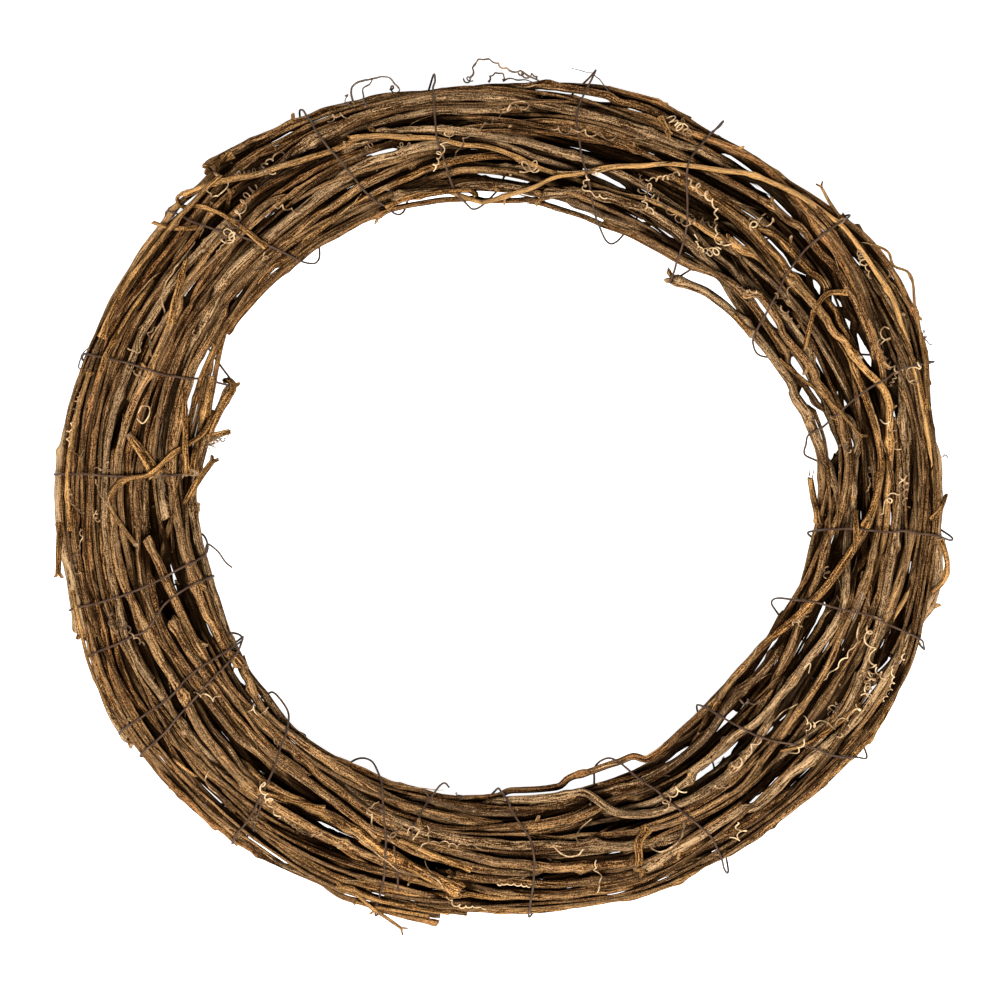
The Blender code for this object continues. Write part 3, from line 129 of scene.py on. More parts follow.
def lines_of(node):
    """The lines of a solid: its cane first, then its side shoots, each (angle, radius, height, half)."""
    rings, edges = rings_of(node)
    owner = {}
    for n, ring in enumerate(rings):
        for corner in ring[4]:
            owner.setdefault(corner, []).append(n)
    links = {}
    for a, b in edges:
        for m in owner.get(a, ()):
            for n in owner.get(b, ()):
                ahead = (rings[m][0] - rings[n][0] + 180) % 360 - 180
                if m != n and NEXT_RING[0] < abs(ahead) < NEXT_RING[1]:
                    pair = (m, n) if ahead > 0 else (n, m)
                    links[pair] = links.get(pair, 0) + 1
    after, before = {}, {}
    for (m, n), count in sorted(links.items(), key=lambda item: -item[1]):
        if count >= 3 and m not in after and n not in before:
            after[m], before[n] = n, m
    # a ring that a side growth has swallowed leaves a gap in the line, which is closed here
    gaps = []
    for m, a in enumerate(rings):
        for n, b in enumerate(rings):
            ahead = (a[0] - b[0]) % 360
            if m not in after and n not in before and NEXT_RING[0] < ahead < WIDEST_GAP[0]:
                miss = math.hypot(a[1] - b[1], a[2] - b[2]) + 9 * abs(a[3] - b[3]) + 0.2 * ahead
                gaps.append((miss, m, n))
    for miss, m, n in sorted(gaps):
        if miss < WIDEST_GAP[1] and m not in after and n not in before:
            after[m], before[n] = n, m
    lines = []
    for n in range(len(rings)):
        if n in before:
            continue
        line = [(rings[n][0], *rings[n][1:4])]
        while n in after:
            n = after[n]
            line.append((line[-1][0] - (line[-1][0] - rings[n][0]) % 360, *rings[n][1:4]))
        lines.append(np.array(line))
    lines.sort(key=lambda line: -len(line))
    lines = [line for line in lines if len(line) > 1]
    # the cane is the longest line whose start isn't on another line
    alone = [all(over(other, line[0][0] + RING_STEP) is None for other in lines if other is not line)
             for line in lines]
    lines.insert(0, lines.pop(alone.index(True) if True in alone else 0))
    for n, line in enumerate(lines[1:], 1):
        spot = line[0][0] + RING_STEP
        root = over(lines[0], spot)
        if root is not None:
            lines[n] = np.vstack([(spot, root[0], root[1] - SUNK_ROOT, line[0][3]), line])
    return lines


def eased(knots, have, want):
    """A smooth curve through knots, (n, k), whose places are given, read at the places wanted."""
    gap = np.diff(have)
    rise = np.diff(knots, axis=0) / gap[:, None]
    slope = np.empty_like(knots)
    slope[0], slope[-1] = rise[0], rise[-1]
    slope[1:-1] = (rise[:-1] * gap[1:, None] + rise[1:] * gap[:-1, None]) / (gap[1:] + gap[:-1])[:, None]
    j = np.clip(np.searchsorted(have, want, side="right") - 1, 0, len(have) - 2)
    t = ((want - have[j]) / gap[j])[:, None]
    g = gap[j][:, None]
    return (knots[j] * (1 + 2 * t) * (1 - t) ** 2 + slope[j] * g * t * (1 - t) ** 2
            + knots[j + 1] * t ** 2 * (3 - 2 * t) + slope[j + 1] * g * t ** 2 * (t - 1))


# how far the canes at the outer and the inner edge lie from their solids, as (angle, mm outward)
OUTER_EASE = [
    (0, -1.4), (8, 0.3), (15, -1.0), (25, 0.5), (45, -0.8), (70, -1.7), (95, -2.5), (122, -2.5),
    (133, -0.6), (145, -2.4), (162, -1.6), (176, -2.5), (192, -2.5), (203, -0.4), (217, -1.5), (232, 0.0),
    (244, -1.3), (260, 0.6), (280, 0.0), (345, -1.0),
]
INNER_EASE = [
    (0, 0.2), (6, 1.8), (20, 1.8), (34, 2.5), (46, 2.5), (53, -0.5), (85, 0.4), (97, 1.8), (115, 1.0),
    (130, -0.5), (150, 0.0), (191, -1.2), (206, 2.2), (221, 2.2), (240, -0.6), (266, 2.2), (283, 0.6),
    (296, 2.0), (328, 2.5), (345, 1.8), (354, 0.0),
]


def eased_radius(angle, radius):
    """Where a cane lies across the band once the bundle's edges are drawn in or let out a little."""
    out, into = (np.interp(angle, *zip(*table), period=360) for table in (OUTER_EASE, INNER_EASE))
    return (radius + out * soft(np.clip((radius - BAND_MIDDLE) / BAND_HALF, 0, 1))
            + into * soft(np.clip((BAND_MIDDLE - radius) / BAND_HALF, 0, 1)))


def cane_line(line, step):
    """A cane's line in mm, smooth, with a point every step: points and half thickness."""
    run = 0.5 * (line[1:, 1] + line[:-1, 1]) * np.radians(-np.diff(line[:, 0]))
    marks = np.concatenate([[0], np.cumsum(np.hypot(run, np.diff(line[:, 1])))])
    count = max(4, int(round(marks[-1] / step)))
    fine = eased(line, marks, np.linspace(0, marks[-1], count + 1))
    radius = eased_radius(fine[:, 0], fine[:, 1])
    points = np.column_stack([flat_spots(fine[:, 0], radius), fine[:, 2]])
    return points, np.clip(fine[:, 3], 0.8, SOLID_HALF[1])


THINNER = {3: 0.74, 17: 0.9, 20: 0.78, 44: 0.85}  # face canes slighter than their solids, by number
SLIM = 0.90  # how much of its solid's thickness a cane's bark takes up
PIXEL = 0.407  # mm to a pixel of the photograph, at the height of the table
CAMERA_HEIGHT = 1628.0  # mm
# where white shows between the canes: angle and radius in pixels at its ends, half width in pixels
SLITS = [
    (161, 432, 155, 432, 1.5), (167.5, 317, 163, 317, 1.2), (162.5, 328, 157, 327, 3),
    (157, 331, 153.5, 330, 1.6), (146.5, 378, 143.5, 378, 1.7), (143.5, 336, 142, 336, 1.2),
    (138, 333, 131.5, 333, 1.3), (137, 324, 134.5, 324, 1.2), (131, 368, 128, 369, 2.6),
    (130, 431, 127, 430, 3), (122.5, 422, 113, 418, 1.2), (121, 372, 118.5, 372, 0.9),
    (112, 371, 108, 368, 1.8), (112.5, 317, 110.5, 317, 1.3), (103, 316, 98, 312, 1.5),
    (92.5, 325, 86.5, 320, 1.6), (92.5, 305, 87.5, 305, 2.2), (84, 409, 76.5, 412, 1.3),
    (71, 411, 69, 411, 1.2), (75, 340, 70, 336, 1.5), (79, 300, 71, 297, 0.9), (65.5, 314, 63, 313, 1.2),
    (60.5, 311, 53, 309, 2.6), (56, 412, 54, 412, 1.1), (50, 404, 45.5, 404, 1.3),
    (49.5, 350, 47.5, 351, 1.5), (40, 422, 34.5, 424, 3.6), (44, 372, 41.5, 372, 1.2),
    (38, 372, 35.5, 378, 2.1), (33.5, 380, 28, 377, 2), (31, 386, 28, 389, 1.8), (27, 386, 22, 391, 3.2),
    (23, 342, 21, 345, 1.5), (20, 344, 15.5, 354, 3.2), (24.5, 321, 18, 331, 1.7), (19, 319, 14, 327, 3),
    (14, 328, 9, 333, 6), (9, 334, 5, 337, 3), (11.5, 351, 9.5, 353, 2.2), (38, 323, 33.5, 323, 1.3),
    (-19, 337, -28, 331, 2.1), (-15, 373, -18.5, 371, 1.2), (-21, 369, -22.5, 369, 0.9),
    (-19.5, 407, -21.5, 404, 1.2), (-13, 418, -15, 418, 1.1), (-45.5, 339, -53.5, 338, 2.5),
    (-55, 321, -64.5, 321, 1.9), (-46, 391, -49.5, 391, 1.8), (-53, 414, -57, 413, 1.2),
    (-64, 294, -75.5, 293, 4), (-77, 297, -88, 295, 1.2), (-67, 412, -71, 412, 1.3),
    (-54.5, 308, -57, 308, 1.2), (-110, 422, -112, 422, 1.3), (-122, 422, -125, 422, 1.2),
    (-115, 370, -118.5, 370, 0.9), (-136, 428, -142, 429, 1.7), (-145.5, 317, -148.5, 317, 1.5),
    (-151.5, 321, -156, 321, 0.6), (-165.5, 337, -168.5, 337, 1.8), (-169.5, 409, -170.5, 409, 1.3),
    (-173.5, 406, -176, 406, 0.6),
]
WIDEST_MOVE = 5.0  # mm


def on_face(node):
    return node.startswith("face")


def number_of(node):
    return int(node[-2:])


def thinness(node):
    return THINNER.get(number_of(node), 1.0) if on_face(node) else 1.0


def open_slits(points, half, node):
    """A line moved aside wherever it would close one of the slits that show white."""
    if thinness(node) < 1:
        return points
    angle, radius = around(points)
    pixel = PIXEL * (1 - points[:, 2] / CAMERA_HEIGHT)
    moved = radius.copy()
    for first, first_at, last, last_at, wide in SLITS:
        off = (angle - 0.5 * (first + last) + 180) % 360 - 180
        span = 0.5 * (first - last)
        weight = np.clip((span + 3 - np.abs(off)) / 3, 0, 1)
        if not (weight > 0.5).any():
            continue
        slope = np.clip(off / span, -1.4, 1.4)
        beside = moved - pixel * 0.5 * (first_at + last_at + slope * (first_at - last_at))
        inside = beside[weight > 0.5]
        if np.ptp(inside) > 6 or abs(inside.mean()) > 8:
            # the cane crosses the slit, or is too far from it
            continue
        side = 1 if inside.mean() > 0 else -1
        need = np.clip(wide * pixel + SLIM * half - side * beside, 0, WIDEST_MOVE)
        moved += side * need * soft(weight)
    return points * np.stack([moved / radius, moved / radius, np.ones(len(points))], axis=1)


def within(angle, first, last):
    """Whether angles lie in a stretch that runs clockwise from first to last."""
    return (first - angle) % 360 <= first - last


GRID = 0.4  # mm between the lines of the grids seen from above and below
GRID_REACH = 200.0
NOTHING = (-50.0, 150.0)  # mm, the top and the underside where nothing has been laid
SIDE_GRID = 0.8  # mm between the lines of the grids seen from outside the ring and from its hole
SIDE_WIDE = 1162  # cells all round it
SIDE_HIGH = 80  # and up, from a little below the table
SIDE_MOST = 0.8  # how open a spot can be that sees out to the side alone
SPOKES = 10  # directions that a spot looks in, and how far along each, in mm
LOOKS = (0.5, 1.1, 1.8, 2.8, 4.2, 6.5)


class Heap:
    """How far everything laid so far reaches: up and down over a fine grid seen from above, and out
    and in over a coarser one seen from the side."""

    def __init__(self):
        self.wide = int(2 * GRID_REACH / GRID) + 1
        self.top = np.full(self.wide ** 2, NOTHING[0])
        self.under = np.full(self.wide ** 2, NOTHING[1])
        self.outmost = np.full(SIDE_WIDE * SIDE_HIGH, 0.0)
        self.inmost = np.full(SIDE_WIDE * SIDE_HIGH, 400.0)

    def lay(self, points, half):
        """Takes in one more line of the wreath."""
        marks = run_along(points)
        fine = np.arange(0, marks[-1], GRID)
        x, y, z, thick = (np.interp(fine, marks, axis) for axis in (*points.T, half))
        cells = int(thick.max() / GRID) + 1
        column = np.round((x + GRID_REACH) / GRID).astype(int)
        row = np.round((y + GRID_REACH) / GRID).astype(int)
        for i in range(-cells, cells + 1):
            for j in range(-cells, cells + 1):
                off = ((column + i) * GRID - GRID_REACH - x) ** 2 + ((row + j) * GRID - GRID_REACH - y) ** 2
                near = off < thick ** 2
                rise = np.sqrt(thick[near] ** 2 - off[near])
                cell = (row[near] + j) * self.wide + column[near] + i
                np.maximum.at(self.top, cell, z[near] + rise)
                np.minimum.at(self.under, cell, z[near] - rise)
        radius = np.hypot(x, y)
        levels = int(thick.max() / SIDE_GRID) + 1
        for i in range(-levels, levels + 1):
            level = (np.round(z / SIDE_GRID) + i) * SIDE_GRID
            near = np.abs(level - z) < thick
            reach = np.sqrt(thick[near] ** 2 - (level - z)[near] ** 2)
            cell = self.side_cell(np.arctan2(y[near], x[near]), level[near])
            np.maximum.at(self.outmost, cell, radius[near] + reach)
            np.minimum.at(self.inmost, cell, radius[near] - reach)

    def cell(self, x, y):
        """Which cell a place is in, seen from above."""
        column = np.clip(np.round((x + GRID_REACH) / GRID).astype(int), 0, self.wide - 1)
        row = np.clip(np.round((y + GRID_REACH) / GRID).astype(int), 0, self.wide - 1)
        return row * self.wide + column

    def side_cell(self, angle, z):
        """Which cell a place is in, seen from the side."""
        column = np.round(angle / (2 * math.pi) * SIDE_WIDE).astype(int) % SIDE_WIDE
        row = np.clip(np.round(z / SIDE_GRID).astype(int) + 5, 0, SIDE_HIGH - 1)
        return row * SIDE_WIDE + column

    def height(self, x, y):
        return self.top[self.cell(x, y)]

    def openness(self, spots):
        """How much each spot sees past the rest of the heap: up, down, outwards or into the hole."""
        x, y, z = spots.T
        angle, radius = np.arctan2(y, x), np.hypot(x, y)
        views = []
        for field, sign, sideways in ((self.top, 1, False), (self.under, -1, False),
                                      (self.outmost, 1, True), (self.inmost, -1, True)):
            seen = []
            for turn in np.radians(np.arange(0, 360, 360 // SPOKES)):
                steepest = np.zeros(len(spots))
                for reach in LOOKS:
                    across, up = reach * math.cos(turn), reach * math.sin(turn)
                    if sideways:
                        past = field[self.side_cell(angle + across / radius, z + up)] - radius
                    else:
                        past = field[self.cell(x + across, y + up)] - z
                    np.maximum(steepest, sign * past / reach, out=steepest)
                seen.append(1 - steepest / np.sqrt(1 + steepest ** 2))
            seen = np.array(seen)
            half_round = [np.roll(seen, k, axis=0)[:SPOKES // 2].mean(axis=0) for k in range(SPOKES)]
            most = SIDE_MOST if sideways else 1.0
            views.append(most * (0.5 * seen.mean(axis=0) + 0.5 * np.max(half_round, axis=0)))
        return np.max(views, axis=0)

    def rest(self, flat, half):
        """Height of the middle of a thing of this half thickness, resting at each point."""
        best = self.height(flat[:, 0], flat[:, 1]) + half
        for k in range(8):
            x = flat[:, 0] + 0.75 * half * math.cos(k * math.pi / 4)
            y = flat[:, 1] + 0.75 * half * math.sin(k * math.pi / 4)
            best = np.maximum(best, self.height(x, y) + 0.66 * half)
        return best

    def lift_out(self, points, half, shown, most, clear=0.0):
        """Draws a line up over the heap along the stretches shown, (first, last) angles clockwise."""
        angle, _ = around(points)
        inside = np.any([within(angle, first, last) for first, last in shown], axis=0)
        need = np.where(inside, self.rest(points[:, :2], SLIM * half) + clear - points[:, 2], 0)
        need = np.pad(np.clip(need, 0, most), 10)
        for even_out in (np.max, np.mean):
            need = even_out([np.roll(need, k) for k in range(-4, 5)], axis=0)
        return points + need[10:-10, None] * (0.0, 0.0, 1.0)

    def draw_over(self, flat, half, passes):
        """A line over the heap along a route seen from above: the more passes, the tauter it lies."""
        floor = self.rest(flat, half)
        real = floor > -20
        if not real.any():
            # it lies over nothing, and stands off at half height
            return np.column_stack([flat, np.full(len(flat), 25.0)])
        marks = np.arange(len(flat))
        floor = np.where(real, floor, NOTHING[0])
        z = np.interp(marks, marks[real], floor[real])
        for _ in range(passes):
            z[1:-1] = np.maximum(floor[1:-1], 0.5 * (z[:-2] + z[2:]))
        return np.column_stack([flat, z])


FACE_STEP = 1.35  # mm between the rings of a face cane's surface
BODY_STEP = 3.0
NODES = sorted(name for name in frame["nodes"] if "_cane_" in name)
SLOTS = {part["node"]: part["material_slot"] for part in frame["record"]["subparts"]}
MOST_LIFT = (4.5, 7.5)  # mm, of a cane on the face and of one that crosses over
CROSSING_GAP = 0.7  # mm between a cane that crosses over and the others
SHOOT_GAP = 1.4  # mm that thin shoots keep clear of it
# the stretches where a cane lies on the face, (first, last) angles clockwise
ON_FACE = {
    1: [(118, 55)], 2: [(150, 100), (33, -64)], 3: [(90, -16)], 4: [(180, 140)], 5: [(131, 55)],
    6: [(165, 120)], 7: [(215, 130)], 8: [(261, 160), (65, 15)], 9: [(220, 148)],
    10: [(222, 144), (112, 95), (37, -33)], 11: [(251, 188), (172, 137)], 12: [(170, 114), (90, 70)],
    13: [(226, 202), (170, 115), (95, 22)], 14: [(212, 105)], 15: [(150, 100), (57, 40), (18, -40)],
    16: [(165, 55)], 17: [(122, 75)], 18: [(118, 88)], 19: [(109, 75)], 20: [(112, 60)], 21: [(85, 16)],
    22: [(83, 45)], 23: [(53, 3)], 24: [(65, 7), (-2, -24)], 25: [(49, 4)], 26: [(2, -76)], 27: [(1, -13)],
    28: [(-2, -69)], 29: [(-17, -93)], 30: [(-38, -94), (-130, -151)], 31: [(-43, -97)], 32: [(-3, -120)],
    33: [(-30, -68), (-82, -98)], 34: [(-34, -85)], 35: [(-69, -114), (-134, -174)],
    36: [(-67, -110), (-155, -203)], 37: [(-70, -149)], 38: [(-96, -129)], 39: [(-92, -173)],
    40: [(-102, -128)], 41: [(-99, -138)], 42: [(-147, -160)], 43: [(-162, -179)], 44: [(136, 117)],
}
# the stretches where a cane crosses over those on the face
CROSSING = {
    15: [(-2, -25)], 17: [(122, 106)], 20: [(112, 80)], 3: [(92, 46)], 25: [(34, 13)], 34: [(-66, -76)],
    38: [(-96, -124)], 35: [(-160, -174)], 39: [(-155, -173)], 44: [(136, 117)],
}
heap = Heap()
hidden = Heap()  # the canes where they run out of sight
lines = {node: [] for node in NODES}
for node in NODES:
    for line in lines_of(node):
        points, half = cane_line(line, FACE_STEP if on_face(node) else BODY_STEP)
        points = open_slits(points, half, node)
        half = half * thinness(node)
        shown = np.zeros(len(points), dtype=bool)
        if on_face(node) and not lines[node]:
            for first, last in ON_FACE[number_of(node)]:
                shown |= within(around(points)[0], first + 2, last - 2)
        for stretch in np.split(np.arange(len(points)), np.nonzero(np.diff(shown))[0] + 1):
            if len(stretch) > 2 and not shown[stretch[0]]:
                hidden.lay(points[stretch], SLIM * half[stretch])
        lines[node].append((points, half))
for node in NODES:
    if on_face(node):
        points, half = lines[node][0]
        lines[node][0] = (hidden.lift_out(points, half, ON_FACE[number_of(node)], MOST_LIFT[0]), half)
    for n, (points, half) in enumerate(lines[node]):
        if n > 0 or number_of(node) not in CROSSING or not on_face(node):
            heap.lay(points, SLIM * half)
crossed = Heap()  # only the canes that cross over
for number, stretches in CROSSING.items():
    node = f"face_cane_{number:02d}"
    points, half = lines[node][0]
    points = heap.lift_out(points, half, stretches, MOST_LIFT[1], CROSSING_GAP)
    lines[node][0] = (points, half)
    heap.lay(points, SLIM * half)
    for first, last in stretches:
        inside = within(around(points)[0], first, last)
        if inside.sum() > 2:
            crossed.lay(points[inside], half[inside] + SHOOT_GAP)

# The bark of the canes.
# Old bark is brown to grey, dry and dull, split lengthwise into fine strips and furrows, swollen at
# the joints with a bud scar or a short pruned spur, and pale where it is cut or broken through.
FACE_LANES = 12  # corners round a cane
BODY_LANES = 8
# how pale each face cane is, where that shows in the photograph: 0 to 1, and a little beyond
TONES = {
    1: 0.5, 2: 1.0, 3: 1.55, 4: 1.15, 5: 0.3, 6: 0.35, 8: 1.0, 9: 0.3, 10: 0.75, 11: 0.95, 12: 0.65,
    15: 0.35, 16: 0.9, 18: 1.1, 19: 0.8, 20: 1.25, 21: 1.0, 22: 0.5, 23: 0.9, 24: 0.75, 25: 1.1, 26: 0.8,
    27: 1.3, 28: 1.1, 29: 0.6, 30: 0.7, 31: 0.25, 33: 0.0, 34: 0.75, 35: 0.7, 36: 0.5, 37: 0.8, 38: 0.6,
    39: 0.6, 40: 0.4, 41: -0.25, 42: 0.65, 43: 1.6, 44: 0.95,
}
JOINTS = (40, 84)  # mm from one joint to the next
SWAY = (1.0, 0.3)  # mm to one side at a joint, of a face cane and of a body cane
WAVER = (0.32, 11)  # mm, how far and how often a face cane strays between its joints
UNEVEN = (-0.05, 0.03)  # how much a cane's thickness differs from the others', as a share
FLUTES = ((0.060, 22), (0.045, 4))  # furrows: how deep, as a share of the thickness, and mm along
OVAL = (0.07, 60)
SWELL = (0.30, 0.46)  # how much thicker a cane is at a joint, and how much more at the joint's bud
MAP_SCALE = 100  # the map is in cm
HIGHEST = 52.8  # mm, past which nothing stands


def placed(name, data):
    """A new object in the scene."""
    thing = bpy.data.objects.new(name, data)
    bpy.context.scene.collection.objects.link(thing)
    return thing


class Skin:
    """A piece's surface as it is put together: spots in mm, faces, and what lies on each face."""

    def __init__(self):
        self.spots, self.tones, self.faces, self.maps, self.finishes = [], [], [], [], []
        self.count = 0

    def add(self, spots, faces, maps, tone, finish=0):
        """Adds faces, an (n, 3) or (n, 4) array into spots, with the map (cm along, turns round)."""
        self.spots.append(spots)
        self.tones.append(np.full(len(spots), tone))
        self.faces.append(faces + self.count)
        self.maps.append(maps)
        self.finishes.append(np.full(len(faces), finish))
        self.count += len(spots)

    def add_tube(self, spots, marks, tone, turns=1.0):
        """Adds a tube, (rings, lanes, 3), whose rings are so many mm along."""
        rings, lanes = spots.shape[:2]
        j, k = (way.ravel() for way in np.meshgrid(np.arange(rings - 1), np.arange(lanes), indexing="ij"))
        ring = np.stack([j, j, j + 1, j + 1], axis=1)
        lane = np.stack([k, k + 1, k + 1, k], axis=1)
        maps = np.stack([marks[ring] * MM * MAP_SCALE, lane / lanes * turns], axis=2).reshape(-1, 2)
        self.add(spots.reshape(-1, 3), ring * lanes + lane % lanes, maps, tone)

    def piece(self, name, materials):
        """The finished piece as an object, its spots moved from the ring's middle to the frame."""
        spots = (np.concatenate(self.spots) + (*RING_MIDDLE, 0.0)) * MM
        spots[:, 2] = np.clip(spots[:, 2], 0.05 * MM, HIGHEST * MM)
        sizes = np.concatenate([np.full(len(f), f.shape[1]) for f in self.faces])
        corners = np.concatenate([f.ravel() for f in self.faces])
        mesh = bpy.data.meshes.new(name)
        mesh.vertices.add(len(spots))
        mesh.vertices.foreach_set("co", spots.ravel())
        mesh.loops.add(len(corners))
        mesh.loops.foreach_set("vertex_index", corners)
        mesh.polygons.add(len(sizes))
        mesh.polygons.foreach_set("loop_start", np.concatenate([[0], np.cumsum(sizes)[:-1]]))
        mesh.polygons.foreach_set("material_index", np.concatenate(self.finishes))
        mesh.update(calc_edges=True)
        mesh.validate()
        mesh.uv_layers.new(name="cane").data.foreach_set("uv", np.concatenate(self.maps).ravel())
        # each spot's tone, and how open it is past the heap, which sets the bark's painted shade
        for kind, values in (("tone", np.concatenate(self.tones)),
                             ("open", heap.openness(np.concatenate(self.spots)))):
            mesh.attributes.new(kind, "FLOAT", "POINT").data.foreach_set("value", values)
        mesh.polygons.foreach_set("use_smooth", np.ones(len(sizes), dtype=bool))
        for material in materials:
            mesh.materials.append(material)
        mesh.update()
        return placed(name, mesh)


def along_line(points):
    """Direction, and two directions square to it that don't twist, at every point of a line."""
    ahead = np.empty_like(points)
    ahead[1:-1] = points[2:] - points[:-2]
    ahead[0], ahead[-1] = points[1] - points[0], points[-1] - points[-2]
    ahead /= np.linalg.norm(ahead, axis=1)[:, None] + 1e-12
    side = np.cross(ahead[0], (0.0, 0.0, 1.0))
    if np.linalg.norm(side) < 0.1:
        side = np.cross(ahead[0], (1.0, 0.0, 0.0))
    sides = np.empty_like(points)
    for j, way in enumerate(ahead):
        side = side - way * (side @ way)
        side = side / math.sqrt(side @ side)
        sides[j] = side
    return ahead, sides, np.cross(ahead, sides)


def wander(rng, count, every, width=1):
    """Smooth random numbers, (count, width), with a new aim every so many steps."""
    aims = rng.normal(size=(int(count / every) + 3, width))
    at = np.arange(count) / every + rng.uniform(0, 0.99)
    j = at.astype(int)
    t = soft(at - j)[:, None]
    return aims[j] * (1 - t) + aims[j + 1] * t


def wrapped(points, side, other, reach, roll):
    """Corners round a line, (rings, lanes, 3), each as far out as reach, (rings, 1 or lanes), says."""
    return points[:, None] + reach[:, :, None] * (side[:, None] * np.cos(roll)[None, :, None]
                                                  + other[:, None] * np.sin(roll)[None, :, None])


def bark_tube(skin, rng, points, half, lanes, tone, rough=1.0, jagged_start=True, knots=()):
    """Wraps bark round a line: fluted, a little oval, swollen at the knots, its ends cut or broken."""
    count = len(points)
    ahead, side, other = along_line(points)
    marks = run_along(points)
    step = marks[-1] / (count - 1)
    roll = 2 * np.pi * np.arange(lanes) / lanes
    flutes = sum(deep * wander(rng, count, max(least, run / step), lanes)
                 for (deep, run), least in zip(FLUTES, (2, 1.5)))
    oval = OVAL[0] * np.cos(2 * roll + 2.5 * wander(rng, count, max(2, OVAL[1] / step)) + rng.uniform(0, 6))
    swell = np.zeros((count, lanes))
    for knot, bud in knots:
        wide = 0.9 * half[min(count - 1, int(knot / step))] + 0.9
        swell += SWELL[0] * np.exp(-((marks - knot) / wide) ** 2)[:, None]
        on_bud = np.clip(np.cos(roll - bud), 0, 1) ** 3
        swell += SWELL[1] * np.exp(-((marks - knot - 0.8) / 1.5) ** 2)[:, None] * on_bud
    reach = half[:, None] * np.clip(1 + rough * (flutes + oval) + swell, 0.6, 1.9)
    spots = wrapped(points, side, other, reach, roll)
    for end, sign in ((0, -1), (count - 1, 1)):
        jag = 0.5 * half[end] * rng.normal(size=lanes)
        slant = 0.7 * half[end] * np.cos(roll - rng.uniform(0, 6.3))
        if sign > 0 or jagged_start:
            spots[end] += (sign * (slant + 0.5 * jag))[:, None] * ahead[end]
    skin.add_tube(spots, marks, tone)
    k = np.arange(lanes)
    nxt = (k + 1) % lanes
    for end, sign in ((0, -1), (count - 1, 1)):
        # the cut: a rim, a rough band of wood inside it, and the sunken pith
        rim = spots[end]
        heart = rim.mean(axis=0)
        inner = heart + (rim - heart) * 0.55
        inner += ahead[end] * (sign * 0.35 * half[end] * rng.uniform(-1, 1, lanes))[:, None]
        pith = heart - ahead[end] * sign * 0.25 * half[end]
        cap = np.concatenate([rim, inner, [pith]])
        spread = (cap - heart) @ np.stack([side[end], other[end]], axis=1) * MM * MAP_SCALE
        for faces in (np.stack([k, nxt, lanes + nxt, lanes + k], axis=1),
                      np.stack([lanes + k, lanes + nxt, np.full(lanes, 2 * lanes)], axis=1)):
            faces = faces[:, ::sign]
            skin.add(cap, faces, spread[faces].reshape(-1, 2), tone, 1)


def knots_along(rng, length):
    """Places of the joints along a cane, and the side that each bud sits on."""
    knots, at, bud = [], 14.0 + rng.uniform(0, 30), rng.uniform(0, 6.3)
    while at < length - 3:
        knots.append((at, bud))
        at += rng.uniform(*JOINTS)
        bud += math.pi + rng.uniform(-0.5, 0.5)
    return knots


def bend_at_knots(rng, points, knots, sway):
    """Sets a line a little over to one side at each joint, as a vine grows."""
    marks = run_along(points)
    stops = [0.0, *(at for at, _ in knots), marks[-1]]
    _, side, other = along_line(points)
    aims = np.array([[sway * (-1) ** n * rng.uniform(0.2, 1), 0.6 * sway * rng.normal()]
                     for n in range(len(stops))])
    aims[0] = aims[-1] = 0
    over_side, over_up = (np.interp(marks, stops, aims[:, axis]) for axis in (0, 1))
    return points + side * over_side[:, None] + other * over_up[:, None]


class Shade:
    """A socket of a material. Arithmetic on it adds Math nodes, and add() makes any other node."""

    def __init__(self, tree, socket=None):
        self.tree, self.socket = tree, socket

    def add(self, kind, settings=(), values=(), out=0):
        """A node of a kind: its settings first, then its sockets' values or links; gives one output."""
        node = self.tree.nodes.new(kind)
        for name, value in dict(settings).items():
            if name == "stops":
                while len(node.color_ramp.elements) < len(value):
                    node.color_ramp.elements.new(0.5)
                for stop, (place, colour) in zip(node.color_ramp.elements, value):
                    stop.position, stop.color = place, (*colour, 1)
            else:
                setattr(node, name, value)
        for name, value in dict(values).items():
            if isinstance(value, Shade):
                self.tree.links.new(value.socket, node.inputs[name])
            else:
                node.inputs[name].default_value = value
        return Shade(self.tree, node.outputs[out] if node.outputs else None)

    def out(self, name):
        """Another output of the same node."""
        return Shade(self.tree, self.socket.node.outputs[name])

    def maths(self, operation, a, b=0.0):
        return self.add("ShaderNodeMath", {"operation": operation}, {0: a, 1: b})

    def __add__(self, other):
        return self.maths("ADD", self, other)

    def __sub__(self, other):
        return self.maths("SUBTRACT", self, other)

    def __rsub__(self, other):
        return self.maths("SUBTRACT", other, self)

    def __mul__(self, other):
        return self.maths("MULTIPLY", self, other)

    __radd__ = __add__
    __rmul__ = __mul__

    def mix(self, share, other):
        """This colour with another mixed in by a share."""
        return self.add("ShaderNodeMix", {"data_type": "RGBA"}, {0: share, 6: self, 7: other}, 2)

    def ramp(self, *stops):
        """The colour that a value picks from a scale of (value, colour) stops."""
        return self.add("ShaderNodeValToRGB", {"stops": stops}, {"Fac": self})

    def share(self, none, full, most, curve="LINEAR"):
        """A share that rises from nothing to the most as a value goes from one number to another."""
        return self.add("ShaderNodeMapRange", {"interpolation_type": curve},
                        {0: self, 1: none, 2: full, 3: 0.0, 4: most})

    def held(self, name):
        """What the mesh holds under a name, at each of its corners."""
        return self.add("ShaderNodeAttribute", {"attribute_name": name}, out="Fac")

    def specks(self, scale, detail=2.0, roughness=0.5):
        """Fine noise all through the piece."""
        place = self.add("ShaderNodeTexCoord", out="Object")
        return self.add("ShaderNodeTexNoise", {}, {"Vector": place, "Scale": scale, "Detail": detail,
                                                   "Roughness": roughness})


def new_material(name, seen):
    """A material with nothing in it yet, and where its nodes start."""
    material = bpy.data.materials.new(name)
    material.use_nodes = True
    material.diffuse_color = (*seen, 1)
    material.node_tree.nodes.clear()
    return material, Shade(material.node_tree)


